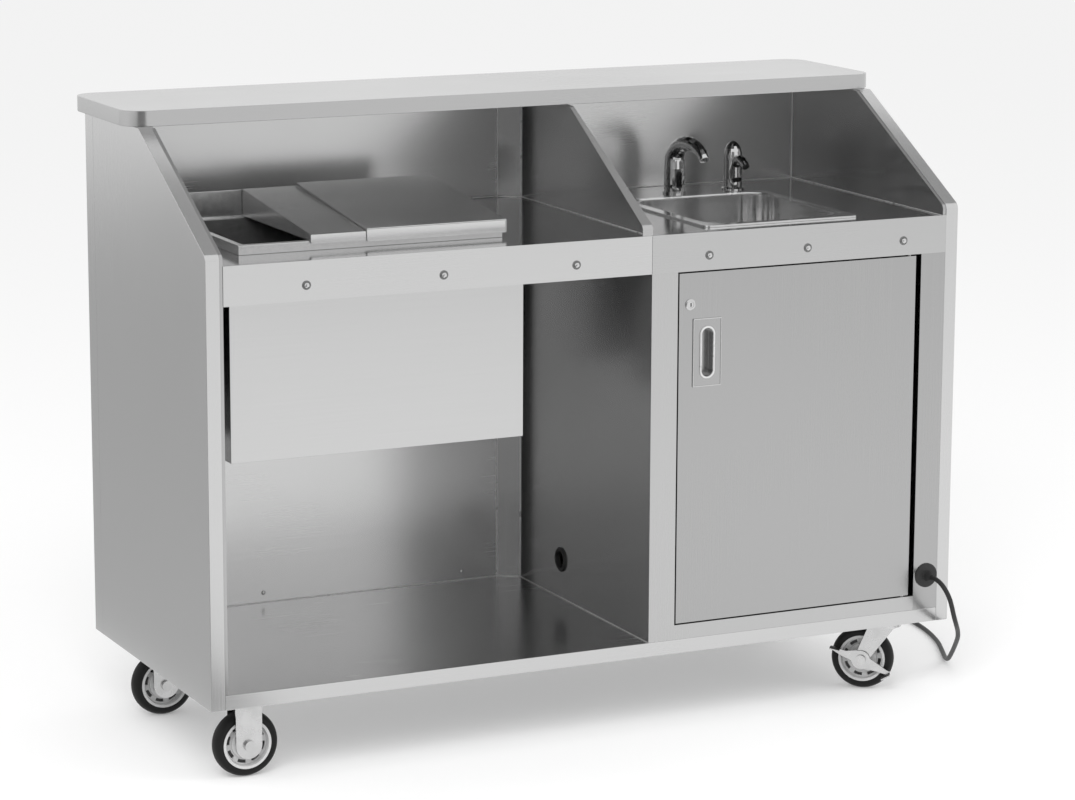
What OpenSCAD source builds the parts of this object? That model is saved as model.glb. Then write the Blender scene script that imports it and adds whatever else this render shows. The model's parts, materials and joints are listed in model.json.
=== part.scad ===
// Portable bar on casters: ice bin and open bay on the left, hand sink and cabinet on the right.
// The operator side faces -Y. The origin is on the floor, under the middle of the bar's outline.

/* [Cabinet] */
// Width over the two side panels
body_w = 1580; // [1540:10:1700]
// Depth from the front frame to the customer side
body_d = 650; // [640:5:700]
// Height of the knee where the side panels start to slope back
knee_z = 998; // [990:1:1020]
// Depth from the front frame to where the slope meets the counter
slope_d = 344; // [320:1:350]
// Sheet metal thickness
sheet = 2; // [1.5:0.1:2.2]
// Width of the folded front edge of a side panel
side_edge = 27; // [24:1:32]
// Depth of the back panel's wrap round each rear corner
back_wrap = 45; // [35:1:60]
// Height of the base pan and its front rail
pan_h = 28; // [24:1:34]
// Gap between the back panel and the inner back wall
back_cavity = 44; // [36:1:50]
// Place of the partition's left face, from the left side
partition_x = 901; // [880:1:915]

/* [Counter] */
// Height of the counter top above the floor
top_h = 1220; // [1210:1:1250]
// Thickness of the counter's edge
counter_t = 30; // [26:1:36]
// Overhang past each side panel
counter_side = 17; // [10:1:30]
// Overhang past the customer side
counter_back = 32; // [20:1:45]
// Setback of the counter's front edge behind the top of the slope
counter_setback = 14; // [8:1:20]
// Radius of the counter's corners
counter_r = 45; // [20:1:60]

/* [Front frame] */
// Width of the centre stile
stile_w = 56; // [50:1:62]
// Width of the right stile
right_stile_w = 55; // [52:1:60]
// Depth of the folded edges behind the frame
return_d = 25; // [20:1:27]
// Height of the sill under the door
sill_h = 29; // [24:1:36]
// Height of the fascia below the decks
fascia_h = 74; // [60:1:80]
// Height of the deck below the knee
deck_drop = 21; // [18:1:24]
// Height that the fascia stands proud of the deck
fascia_lip = 2; // [1:0.5:4]

/* [Door] */
// Gap round the door on its three closing edges
door_gap = 3; // [2:0.5:4]
// Gap on the pivot edge
pivot_gap = 12; // [11:0.5:16]
// Thickness of the door
door_t = 22; // [20:1:24]
// Distance of the pivot pins from the door's edge
pivot_inset = 9; // [8.5:0.5:9.5]
// Diameter of the pivot pins
pivot_d = 8; // [6:0.5:9]
// Radial clearance of the pivot pins
pivot_fit = 0.05; // [0.03:0.01:0.08]
// Width of the pull's plate
pull_w = 62; // [54:1:70]
// Height of the pull's plate
pull_h = 133; // [110:1:150]
// Depth of the pull's cup behind the door's face
pull_cup = 19; // [14:1:19]
// Diameter of the lock's head
lock_d = 22; // [18:1:26]
// Length of the lock's cam
cam_len = 38; // [36:1:42]

/* [Ice bin] */
// Inside length of the well
well_w = 505; // [460:5:510]
// Inside depth of the well, front to back
well_d = 319; // [300:1:325]
// Height of the jacket's bottom above the floor
jacket_z = 596; // [560:1:640]
// Foam thickness round the well
foam = 40; // [25:1:43]
// Height of the collar above the deck
collar_h = 18; // [15:1:24]
// Height of the collar's back wall above the collar
collar_back = 51; // [48:1:56]
// Width of the ledge round the well
ledge_w = 12; // [8:1:16]
// Length of the sliding cover
slider_w = 262; // [230:1:280]
// Travel of the sliding cover to the left
slider_left = 130; // [60:5:130]
// Height of the sliding cover's front above the collar
slider_rise = 12; // [10:0.5:14]
// Height of the lift-off cover above the sliding cover
cover_step = 5.5; // [5:0.5:8]

/* [Sink and taps] */
// Width of the sink over its rim
sink_w = 343; // [320:1:360]
// Depth of the sink over its rim, front to back
sink_d = 385; // [360:1:390]
// Width of the sink's rim
sink_rim = 24; // [18:1:30]
// Depth of the bowl below the deck
bowl_h = 140; // [110:5:150]
// Corner radius of the bowl
bowl_r = 50; // [35:1:60]
// Height of the sensor tap above the deck
tap_h = 123; // [110:1:140]
// Reach of the sensor tap
tap_reach = 125; // [100:1:140]
// Height of the soap tap above the deck
soap_h = 100; // [85:1:115]

/* [Casters] */
// Diameter of the wheels
wheel_d = 127; // [120:1:130]
// Width of the tyre
wheel_w = 32; // [28:1:34]
// Height from the floor to the underside of the base
caster_h = 154; // [150:1:160]
// Distance of the swivel axis from the wheel's axle
trail = 45; // [38:1:48]
// Diameter of the axle bolts
axle_d = 12; // [10:1:14]
// Radial clearance of the wheels and swivels on their bolts
wheel_fit = 0.06; // [0.03:0.01:0.1]
// Side of the caster plates
plate_w = 92; // [84:1:100]

/* [Tanks and plumbing] */
// Width of each water tank
tank_w = 150; // [120:5:160]
// Depth of each water tank
tank_d = 290; // [240:10:290]
// Height of each water tank
tank_h = 420; // [340:10:460]
// Width of the water heater
heater_w = 150; // [120:5:160]
// Height of the water heater
heater_h = 260; // [220:10:300]

/* [Cord] */
// Diameter of the supply cord
cord_d = 9.5; // [9:0.5:10]
// Mean diameter of the stored coil
coil_d = 104; // [100:1:112]

/* [Hidden] */
$fn = 64;
eps = 0.5;

steel = [0.72, 0.73, 0.74];
bright = [0.82, 0.83, 0.84];
dark_steel = [0.45, 0.46, 0.47];
zinc = [0.78, 0.79, 0.8];
black = [0.08, 0.08, 0.085];
rubber = [0.12, 0.12, 0.125];
tank_white = [0.9, 0.91, 0.9];

// Heights
base_z = caster_h;
floor_z = base_z + pan_h;
under_z = top_h - counter_t;
deck_z = knee_z - deck_drop;
fascia_top = deck_z + fascia_lip;
fascia_z = fascia_top - fascia_h;
sill_z = floor_z + sill_h;
rim_z = deck_z + collar_h;

// Places across the width
right_edge = body_w - side_edge;
liner_gap = 5;
liner_in = side_edge + liner_gap + sheet;
right_in = body_w - liner_in;
opening_l = partition_x + stile_w;
opening_r = right_edge - right_stile_w;

// Places along the depth
stud_out = 6;
wall_y = body_d - back_cavity - sheet;
side_back = body_d - back_wrap;
counter_front = slope_d + counter_setback;
counter_rear = body_d + counter_back;
mid_y = (counter_rear - stud_out) / 2;

// Studs of the bottle rail
stud_z = fascia_z + 29;
stud_hole = 3.2;
left_studs = [for (i = [0:2]) 195 + i * (partition_x - 355) / 2];
right_studs = [for (i = [0:2]) partition_x + 123 + i * (right_edge - partition_x - 220) / 2];

// Side outline
slope_a = atan2(under_z - knee_z, slope_d);
knee_r = 15;
recess = 1.5;

// Door
door_l = opening_l + door_gap;
door_r = opening_r - pivot_gap;
door_z0 = sill_z + door_gap;
door_z1 = fascia_z - door_gap;
pivot_x = door_r - pivot_inset;
pivot_y = door_t / 2;
lock_x = door_l + 24;
lock_z = door_z1 - 61;
pull_x = door_l + pull_w - 1;
pull_z = lock_z - 95;
slot_w = 27;
slot_h = 97;
cam_y = return_d + 2;
cam_t = 3;
plug_d = 12;

// Ice bin
well_x = side_edge + 95;
well_y = 129;
collar_l = well_x - ledge_w - sheet;
collar_r = well_x + well_w + ledge_w + sheet;
collar_f = well_y - ledge_w - sheet;
collar_b = well_y + well_d + ledge_w + sheet;
well_floor = jacket_z + foam - 12;
jacket_f = collar_f - 30;
jacket_b = collar_b + 30;
jacket_l = collar_l - 31;
jacket_r = collar_r + 30;
lid_run = 0.4;
slider_x = collar_l + sheet + 9 + slider_left;
lid_back = collar_b - sheet - 3;
lid_a = atan2(collar_back - slider_rise + 1, lid_back - collar_f);
slider_f = collar_f - 5;
cover_f = slider_f - 3;
cover_x = slider_x + 111;
cover_r = collar_r + 5;
slider_top = rim_z + slider_rise;
cover_top = slider_top + cover_step;
cover_low = rim_z - 8;
lid_corner = 5;
drain_x = well_x + well_w / 2;
drain_y = well_y + 180;

// Sink and taps
sink_x = (partition_x + sheet + right_in - sink_w) / 2 - 8;
sink_y = 55;
bowl_x = sink_x + sink_rim;
bowl_y = sink_y + sink_rim;
bowl_w = sink_w - 2 * sink_rim;
bowl_d = sink_d - 2 * sink_rim;
bowl_floor = deck_z - bowl_h;
sink_cx = sink_x + sink_w / 2;
sink_cy = sink_y + sink_d / 2;
tap_x = sink_cx - 2.5;
tap_y = sink_y + sink_d + 65;
tap_r = 21;
soap_x = sink_x + sink_w - 36;
soap_y = tap_y + 3;
soap_r = 19.5;

// Tanks and plumbing
tank_y = 215;
fresh_x = partition_x + 70;
waste_x = fresh_x + tank_w + 12;
tank_cap_h = 24;
heater_d = 92;
heater_x = right_in - heater_w - 40;
heater_y = wall_y - heater_d - 4;
nipple_h = 20;
pump_x = (waste_x + tank_w + right_in) / 2;
pump_y = tank_y + 35;

// Slanted filler in the back corner
strip_w = 40;
strip_d = 25;

// Grommet in the partition
hole_y = body_d - 265;
hole_z = floor_z + 80;
grommet_r = 21;

// Lengths below the deck
drain_l = 70;
shank_l = 40;

// Casters
rigid_x = 95;
swivel_x = body_w - 95;
front_y = 81;
rear_y = body_d - 120;
swivel_rear_y = body_d - 115;
axle_z = wheel_d / 2;
plate_t = 4;
plate_z = caster_h - plate_t;
leg_in = wheel_w / 2 + 5;
leg_t = 3.5;
hub_r = 47.5;
hub_w = wheel_w + 8;
trail_a = 140;
king_r = 7;
bolt_r = 10.5;

// Cord
bush_x = opening_r + 29;
bush_z = 251;
cord_r = cord_d / 2;
// The cord's way, from the middle of its bushing, with heights above the floor
cord_points = [
    [0, -24.2, 251], [0, -34, 251], [0.4, -45.9, 249.4], [1.6, -57, 244.8], [3.5, -66.5, 237.5],
    [6, -73.8, 228], [8.9, -78.4, 216.9], [12, -80, 205], [16.5, -78.5, 192],
    [22.5, -74.5, 178.5], [30.5, -67, 166.5], [40, -56, 155.5], [51.5, -41, 145],
    [65, -22.5, 132], [80, 0, 115], [98, 32, 96], [116, 66, 76], [133, 100, 55], [149, 134, 34],
    [165, 168, 16], [181, 203, 7], [199, 240, 4.75], [217, 278, 4.75], [235, 318, 4.75],
    [250, 360, 4.75], [262, 402, 4.75], [271, 444, 4.75], [277, 486, 4.75], [280, 530, 4.75],
    [281, 570, 4.75], [281, 590, 4.75], [281, 600, 4.75]
];
cord_route = [for (p = cord_points) p + [bush_x, 0, 0]];

// Stored coil: spirals in on the floor layer, climbs while it reverses, spirals out on top
coil_pitch = cord_d + 0.7;
coil_turns = 2.5;
coil_steps = 24;
coil_in = coil_d / 2 - coil_turns * coil_pitch / 2;
coil_out = coil_d / 2 + coil_turns * coil_pitch / 2;
lead = 10;
lead_out = 40;
route_end = cord_route[len(cord_route) - 1];
coil_c = [route_end[0] - coil_out, route_end[1] + lead];
function coil_radius(t) = coil_in + coil_pitch * abs(coil_turns - t);
function coil_height(t) = cord_r + coil_pitch * min(max((t - coil_turns + 0.25) * 2, 0), 1);
function coil_point(t) = let (r = coil_radius(t)) [
    coil_c[0] + r * cos(360 * t), coil_c[1] + r * sin(360 * t), coil_height(t)
];
coil_run = [for (i = [0:2 * coil_turns * coil_steps]) coil_point(i / coil_steps)];
coil_gap = min([
    for (i = [0:len(coil_run) - 1], j = [i + coil_steps / 2:len(coil_run) - 1])
        norm(coil_run[i] - coil_run[j])
]) - cord_d;
echo(str("least gap between the coil's turns: ", coil_gap));

// Moves a drawing made from the left front corner of the body to the shared origin
module bar() {
    translate([-body_w / 2, -mid_y, 0]) children();
}

// A block between two opposite corners
module block(lo, hi) {
    translate(lo) cube(hi - lo);
}

// Extrudes an outline drawn in depth and height along the width
module along_x(x0, w) {
    translate([x0, 0, 0]) rotate([90, 0, 90]) linear_extrude(w) children();
}

// Extrudes an outline drawn in width and height along the depth
module along_y(y0, d) {
    translate([0, y0 + d, 0]) rotate([90, 0, 0]) linear_extrude(d) children();
}

// A rectangle with round corners, from its low corner
module round_rect(w, d, r) {
    translate([r, 0]) square([w - 2 * r, d]);
    translate([0, r]) square([w, d - 2 * r]);
    for (x = [r, w - r], y = [r, d - r]) translate([x, y]) circle(r);
}

// A box open towards +Z, with its outer size and wall
module tray(lo, hi, wall) {
    difference() {
        block(lo, hi);
        block(lo + [wall, wall, wall], hi + [-wall, -wall, eps]);
    }
}

// Outline of a side panel seen from the side, moved inwards by an inset
function side_outline(inset, low, back) = let (
    r = max(knee_r - inset, 1),
    line_z = knee_z - inset * cos(slope_a) + inset * (1 - sin(slope_a)) * tan(slope_a),
    half = (90 - slope_a) / 2,
    setback = r * tan(half),
    centre = [inset + r, line_z - setback],
    top = under_z - inset,
    top_y = inset + (top - line_z) / tan(slope_a)
) concat(
    [[inset, low + inset]],
    [for (i = [0:6]) centre + r * [cos(180 - i * 2 * half / 6), sin(180 - i * 2 * half / 6)]],
    [[top_y, top], [back - inset, top], [back - inset, low + inset]]
);

// Quarter round fillet outline in the corner of two walls
function cove(r) = concat([[0, 0]], [for (i = [0:6]) [r - r * sin(i * 15), r - r * cos(i * 15)]]);

// A smooth curve through a list of points
function curve_point(a, b, c, d, t) =
    0.5 * (2 * b + (c - a) * t + (2 * a - 5 * b + 4 * c - d) * t * t
    + (3 * b - a - 3 * c + d) * t * t * t);
function curve(pts, steps) = let (n = len(pts)) concat(
    [for (i = [0:n - 2], s = [0:steps - 1])
        curve_point(pts[max(i - 1, 0)], pts[i], pts[i + 1], pts[min(i + 2, n - 1)], s / steps)],
    [pts[n - 1]]
);

function unit(v) = v / norm(v);
function path_dir(p, i) = unit(p[min(i + 1, len(p) - 1)] - p[max(i - 1, 0)]);

// Side vectors carried along a path without twist
function side_step(prev, dir) = unit(prev - dir * (prev * dir));
function sides_along(p, i, prev, found) = i == len(p) ? found : let (
    s = side_step(prev, path_dir(p, i))
) sides_along(p, i + 1, s, concat(found, [s]));

// A tube along a path, with one radius for each point
module tube(p, radii, n) {
    first = abs(path_dir(p, 0)[0]) < 0.8 ? [1, 0, 0] : [0, 1, 0];
    sides = sides_along(p, 0, first, []);
    rings = len(p);
    pts = [for (i = [0:rings - 1], k = [0:n - 1]) let (
        d = path_dir(p, i),
        u = sides[i],
        v = cross(d, u)
    ) p[i] + radii[i] * (cos(360 * k / n) * u + sin(360 * k / n) * v)];
    walls = [for (i = [0:rings - 2], k = [0:n - 1]) let (
        a = i * n + k,
        b = i * n + (k + 1) % n
    ) each [[a, a + n, b + n], [a, b + n, b]]];
    start = [for (k = [1:n - 2]) [0, k, k + 1]];
    last = (rings - 1) * n;
    end = [for (k = [1:n - 2]) [last, last + k + 1, last + k]];
    polyhedron(pts, concat(walls, start, end), convexity = 6);
}

module base_pan() color(steel) bar() {
    difference() {
        block([side_edge, 0, base_z], [right_edge, body_d - sheet, floor_z]);
        block([side_edge + sheet, sheet, base_z - eps],
            [right_edge - sheet, body_d - 2 * sheet, floor_z - sheet]);
    }
    for (x = [rigid_x - 55, swivel_x - 55]) difference() {
        block([x, sheet, base_z], [x + 110, body_d - 2 * sheet, floor_z - sheet]);
        block([x + 3, sheet - eps, base_z + 3], [x + 107, body_d, floor_z - sheet + eps]);
    }
}

// A side panel: an outer skin folded in all round
module side_panel() {
    difference() {
        along_x(0, side_edge) polygon(side_outline(0, base_z, side_back));
        along_x(sheet, side_edge) polygon(side_outline(sheet, base_z, side_back));
    }
}

module left_side_panel() color(steel) bar() side_panel();

module right_side_panel() color(steel) bar()
    translate([body_w, 0, 0]) mirror([1, 0, 0]) side_panel();

// The inner lining of a side, a tray that faces its panel
module side_liner() {
    difference() {
        along_x(side_edge, liner_in - side_edge)
            polygon(side_outline(recess, floor_z - recess, wall_y + sheet + recess));
        along_x(side_edge - 1, liner_in - side_edge - sheet + 1)
            polygon(side_outline(recess + sheet, floor_z - recess, wall_y + sheet + recess));
    }
    block([side_edge, slope_d + 10, under_z - recess - sheet], [liner_in, wall_y, under_z]);
}

// A side's lining between the floor and the counter
module cut_liner() {
    intersection() {
        side_liner();
        block([0, 0, floor_z], [liner_in, wall_y + sheet, under_z]);
    }
}

module side_liners() color(steel) bar() {
    cut_liner();
    translate([body_w, 0, 0]) mirror([1, 0, 0]) difference() {
        cut_liner();
        block([0, -eps, 0], [liner_in + eps, sheet, fascia_top]);
    }
}

module back_panel() color(steel) bar() {
    block([0, body_d - sheet, base_z], [body_w, body_d, under_z]);
    for (x = [0, body_w - sheet]) block([x, side_back, base_z], [x + sheet, body_d, under_z]);
    block([sheet, body_d - 22, under_z - sheet], [body_w - sheet, body_d - sheet, under_z]);
}

module back_liner() color(dark_steel) bar()
    block([liner_in, wall_y, floor_z], [right_in, wall_y + sheet, under_z]);

// The slanted filler in the corner between the back wall and the partition
module corner_strip() color(steel) bar() {
    translate([0, 0, floor_z]) linear_extrude(under_z - floor_z) polygon([
        [partition_x - strip_w - 1.5 * sheet, wall_y], [partition_x - strip_w, wall_y],
        [partition_x, wall_y - strip_d], [partition_x, wall_y - strip_d - 1.25 * sheet]
    ]);
}

module partition() color(steel) bar() {
    hem_low = 20;
    hem_high = 7;
    difference() {
        block([partition_x, sheet, floor_z], [partition_x + sheet, wall_y, deck_z - sheet]);
        translate([partition_x - 1, hole_y, hole_z]) rotate([0, 90, 0])
            cylinder(h = sheet + 2, r = grommet_r);
    }
    block([partition_x, sheet, deck_z - sheet - 1], [partition_x + sheet, wall_y, fascia_top]);
    intersection() {
        along_x(partition_x, sheet) polygon(side_outline(recess, base_z, wall_y + recess));
        block([partition_x, 0, fascia_top], [partition_x + sheet, wall_y, under_z - recess]);
    }
    block([partition_x, counter_front + 26, under_z - recess - 1], [partition_x + sheet, wall_y, under_z]);
    intersection() {
        difference() {
            along_x(partition_x - hem_low, hem_low + 1) polygon(side_outline(recess, base_z, wall_y));
            along_x(partition_x - hem_low - 1, hem_low + 3)
                polygon(side_outline(recess + sheet, base_z, wall_y + sheet));
        }
        translate([partition_x, 0, fascia_top]) linear_extrude(under_z - recess - sheet - fascia_top)
            polygon([[-hem_low, 0], [1, 0], [1, slope_d], [-hem_high, slope_d]]);
    }
}

module centre_stile() color(steel) bar() {
    block([partition_x, 0, floor_z], [opening_l, sheet, fascia_z]);
    block([opening_l - sheet, 0, sill_z - sheet], [opening_l, return_d, fascia_z]);
    block([opening_l - sheet, 0, floor_z], [opening_r, sheet, sill_z]);
    difference() {
        union() {
            block([opening_l - sheet, 0, sill_z - sheet], [opening_r, return_d, sill_z]);
            translate([pivot_x, pivot_y, sill_z - 8]) cylinder(h = 8, r = 8);
        }
        translate([pivot_x, pivot_y, sill_z - 9]) cylinder(h = 12, r = pivot_d / 2 + pivot_fit);
    }
    block([opening_l, return_d - sheet, floor_z], [opening_r, return_d, sill_z]);
}

module right_stile() color(steel) bar() {
    difference() {
        block([opening_r, 0, floor_z], [right_edge, sheet, fascia_z]);
        translate([bush_x, -1, bush_z]) rotate([-90, 0, 0]) cylinder(h = sheet + 2, r = 17.2);
    }
    block([opening_r, 0, floor_z], [opening_r + sheet, return_d, fascia_z]);
}

// Holes for the studs' shanks
module stud_holes(places) {
    for (x = places) translate([x, -1, stud_z]) rotate([-90, 0, 0])
        cylinder(h = sheet + 2, r = stud_hole);
}
module left_fascia() color(steel) bar() {
    difference() {
        block([liner_in, 0, fascia_z], [partition_x, sheet, fascia_top]);
        stud_holes(left_studs);
    }
    block([liner_in, 0, fascia_z], [partition_x, return_d - 5, fascia_z + sheet]);
}

module right_fascia() color(steel) bar() {
    difference() {
        block([partition_x, 0, fascia_z], [right_edge, sheet, fascia_top]);
        stud_holes(right_studs);
    }
    difference() {
        union() {
            block([partition_x + sheet, 0, fascia_z], [right_in, return_d, fascia_z + sheet]);
            translate([pivot_x, pivot_y, fascia_z]) cylinder(h = 8, r = 8);
        }
        translate([pivot_x, pivot_y, fascia_z - 1]) cylinder(h = 12, r = pivot_d / 2 + pivot_fit);
    }
}

// Round-headed studs that carry a bottle rail
module rail_studs() color(bright) bar() {
    head_r = 5.5;
    for (x = concat(left_studs, right_studs)) translate([x, 0, stud_z]) rotate([90, 0, 0]) {
        rotate_extrude() polygon(concat([[0, 0], [head_r, 0], [head_r, 1.5]],
            [for (i = [1:5]) [head_r * cos(i * 18), 1.5 + (stud_out - 1.5) * sin(i * 18)]]));
        translate([0, 0, -12]) cylinder(h = 12.2, r = 3);
        translate([0, 0, -sheet - 5]) cylinder(h = 5, r = 6, $fn = 6);
    }
}

module left_deck() color(steel) bar() {
    turn = 12;
    difference() {
        union() {
            block([liner_in, sheet, deck_z - sheet], [partition_x, wall_y, deck_z]);
            translate([liner_in, wall_y, deck_z]) rotate([90, 0, 90])
                linear_extrude(partition_x - liner_in) mirror([1, 0]) polygon(cove(turn));
            translate([partition_x, sheet + 20, deck_z]) rotate([90, 0, 180])
                linear_extrude(wall_y - sheet - 20) polygon(cove(turn));
        }
        block([collar_l + sheet, collar_f + sheet, deck_z - sheet - 1],
            [collar_r - sheet, collar_b - sheet, deck_z + 1]);
        translate([0, 0, deck_z - sheet - 1]) linear_extrude(turn + sheet + 2) polygon([
            [partition_x - strip_w - 1.5 * sheet, wall_y],
            [partition_x, wall_y - strip_d - 1.25 * sheet], [partition_x + 1, wall_y + 1]
        ]);
    }
    block([liner_in, sheet, deck_z - 25], [partition_x, 2 * sheet, deck_z]);
}

module right_deck() color(steel) bar() {
    turn = 12;
    difference() {
        union() {
            block([partition_x + sheet, sheet, deck_z - sheet], [right_in, wall_y, deck_z]);
            translate([partition_x + sheet, wall_y, deck_z]) rotate([90, 0, 90])
                linear_extrude(right_in - partition_x - sheet) mirror([1, 0]) polygon(cove(turn));
        }
        translate([bowl_x - 3, bowl_y - 3, deck_z - sheet - 1]) linear_extrude(sheet + 2)
            round_rect(bowl_w + 6, bowl_d + 6, bowl_r + 3);
        translate([tap_x, tap_y, deck_z - sheet - 1]) cylinder(h = sheet + 2, r = 12.2);
        translate([soap_x, soap_y, deck_z - sheet - 1]) cylinder(h = sheet + 2, r = 12.2);
    }
    block([partition_x + sheet, sheet, deck_z - 25], [right_in, 2 * sheet, deck_z]);
}

module counter_top() color(steel) bar() {
    w = body_w + 2 * counter_side;
    d = counter_rear - counter_front;
    hem = 60;
    difference() {
        translate([-counter_side, counter_front, under_z]) linear_extrude(counter_t)
            round_rect(w, d, counter_r);
        translate([sheet - counter_side, counter_front + sheet, under_z + sheet])
            linear_extrude(counter_t - 2 * sheet)
            round_rect(w - 2 * sheet, d - 2 * sheet, counter_r - sheet);
        translate([hem - counter_side, counter_front + hem, under_z - 1])
            linear_extrude(sheet + 2) square([w - 2 * hem, d - 2 * hem - 20]);
    }
}

module bin_jacket() color(steel) bar() difference() {
    tray([jacket_l, jacket_f, jacket_z], [jacket_r, jacket_b, deck_z - sheet], sheet);
    translate([drain_x, drain_y, jacket_z - 1]) cylinder(h = sheet + 2, r = 17);
}

module bin_well() color(dark_steel) bar() difference() {
    block([well_x - sheet, well_y - sheet, well_floor - sheet],
        [well_x + well_w + sheet, well_y + well_d + sheet, rim_z - sheet]);
    block([well_x, well_y, well_floor], [well_x + well_w, well_y + well_d, rim_z + 1]);
    translate([drain_x, drain_y, well_floor - sheet - 1]) cylinder(h = sheet + 2, r = 17);
}

module bin_collar() color(steel) bar() {
    difference() {
        block([collar_l, collar_f, deck_z], [collar_r, collar_b, rim_z]);
        block([collar_l + sheet, collar_f + sheet, deck_z - 1],
            [collar_r - sheet, collar_b - sheet, rim_z - sheet]);
        block([well_x, well_y, deck_z], [well_x + well_w, well_y + well_d, rim_z + 1]);
    }
    block([collar_l, collar_b - sheet, rim_z - sheet], [collar_r, collar_b, rim_z + collar_back]);
}

// Height of a cover's top above its front edge, at a place along the depth
function lid_rise(front, y) = (y - front) * tan(lid_a);

// Side outline of a cover: flat foot, front edge, top that slopes up to the back
function cover_outline(front, top, foot) = [
    [front, foot], [front, top], [lid_back, top + lid_rise(front, lid_back)], [lid_back, foot]
];

// Side outline of a strip along the lift-off cover's top, down to a depth below it
function cover_strip(front, depth) = let (
    z0 = cover_top + lid_rise(cover_f, front),
    z1 = cover_top + lid_rise(cover_f, lid_back)
) [[front, z0 - depth], [front, z0], [lid_back, z1], [lid_back, z1 - depth]];

module sliding_cover() color(dark_steel) bar() {
    foot = rim_z + lid_run;
    low = slider_top - 17.5;
    under = slider_top - sheet;
    difference() {
        along_x(slider_x, slider_w) polygon(cover_outline(slider_f, slider_top, foot));
        along_x(slider_x + sheet, slider_w - 2 * sheet) polygon([
            [slider_f + sheet, foot - 1], [slider_f + sheet, under + lid_rise(0, sheet)],
            [lid_back + 1, under + lid_rise(slider_f, lid_back + 1)], [lid_back + 1, foot - 1]
        ]);
    }
    along_y(slider_f, sheet) translate([slider_x, low]) intersection() {
        round_rect(slider_w, 2 * collar_h, lid_corner);
        square([slider_w, slider_top - sheet / 2 - low]);
    }
    translate([slider_x + 3.5, well_y + 50, rim_z + 4]) rotate([-90, 0, 0]) cylinder(h = 130, r = 3.5);
}

module lift_cover() color(dark_steel) bar() {
    leg_x = collar_r - 9;
    along_x(cover_x, cover_r - cover_x) polygon(cover_strip(cover_f, sheet));
    along_x(cover_x, sheet) polygon(cover_strip(cover_f + sheet, cover_step - lid_run));
    along_x(cover_r - sheet, sheet) polygon(cover_outline(cover_f, cover_top, cover_low));
    along_x(leg_x, sheet) polygon([
        [collar_f + 4, rim_z + lid_run], [collar_f + 4, cover_top - 1],
        [lid_back, cover_top - 1 + lid_rise(cover_f, lid_back)], [lid_back, rim_z + lid_run]
    ]);
}

// Front edge of the lift-off cover, folded down over the collar with one round corner
module lift_cover_lip() color(dark_steel) bar() intersection() {
    lip_w = cover_r - sheet - cover_x;
    high = cover_top - sheet;
    along_x(cover_x, lip_w) polygon([
        [cover_f, cover_low], [cover_f, high], [cover_f + sheet, high + lid_rise(0, sheet)],
        [cover_f + sheet, cover_low]
    ]);
    along_y(cover_f, sheet) translate([cover_x, cover_low])
        round_rect(lip_w + 2 * lid_corner, high - cover_low + 3 * lid_corner, lid_corner);
}

// Strainer, tailpiece and screw cap of the ice bin's drain
module bin_drain() color(zinc) bar() translate([drain_x, drain_y, 0]) {
    difference() {
        union() {
            translate([0, 0, well_floor]) cylinder(h = 2, r = 28);
            translate([0, 0, jacket_z - 18]) cylinder(h = well_floor - jacket_z + 19, r = 16.5);
            translate([0, 0, jacket_z - 8]) cylinder(h = 8, r = 24, $fn = 6);
        }
        translate([0, 0, jacket_z - 20]) cylinder(h = 90, r = 13);
    }
    difference() {
        translate([0, 0, jacket_z - 22]) cylinder(h = 12, r = 19.5);
        translate([0, 0, jacket_z - 18]) cylinder(h = 10, r = 16.4);
        for (i = [0:11]) rotate(i * 30) translate([20, 0, jacket_z - 23]) cylinder(h = 14, r = 1.6);
    }
}

// A solid with round vertical corners and a round lower edge, from its low corner
module tub(w, d, h, r, f) {
    module edge(half) {
        polygon(concat([[0, 0]],
            [for (i = [0:6]) [half - f + f * sin(i * 15), f - f * cos(i * 15)]],
            [[half, h], [0, h]]));
    }
    for (x = [r, w - r], y = [r, d - r]) translate([x, y, 0]) rotate_extrude() edge(r);
    for (m = [0, 1]) translate([m * w, 0, 0]) mirror([m, 0, 0]) {
        translate([w / 2, d - r, 0]) rotate([90, 0, 0]) linear_extrude(d - 2 * r) mirror([1, 0]) edge(w / 2);
    }
    for (m = [0, 1]) translate([0, m * d, 0]) mirror([0, m, 0]) {
        translate([r, d / 2, 0]) rotate([90, 0, 90]) linear_extrude(w - 2 * r) mirror([1, 0]) edge(d / 2);
    }
}

module hand_sink() color(bright) bar() {
    wall = 1.5;
    difference() {
        translate([bowl_x - wall, bowl_y - wall, bowl_floor - wall])
            tub(bowl_w + 2 * wall, bowl_d + 2 * wall, bowl_h + wall, bowl_r + wall, 22);
        translate([bowl_x, bowl_y, bowl_floor]) tub(bowl_w, bowl_d, bowl_h + 1, bowl_r, 20);
        translate([sink_cx, sink_cy, bowl_floor - 5]) cylinder(h = 10, r = 26);
    }
}

// Rim of the sink on the deck, with a sunk step round the bowl
module sink_rim() color(bright) bar() {
    rise = 4;
    step = 10;
    translate([0, 0, deck_z]) difference() {
        translate([sink_x, sink_y, 0]) linear_extrude(rise) round_rect(sink_w, sink_d, 14);
        translate([bowl_x, bowl_y, -1]) linear_extrude(rise + 2) round_rect(bowl_w, bowl_d, bowl_r);
        translate([bowl_x - step, bowl_y - step, rise - 1]) linear_extrude(2)
            round_rect(bowl_w + 2 * step, bowl_d + 2 * step, bowl_r);
    }
}

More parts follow.
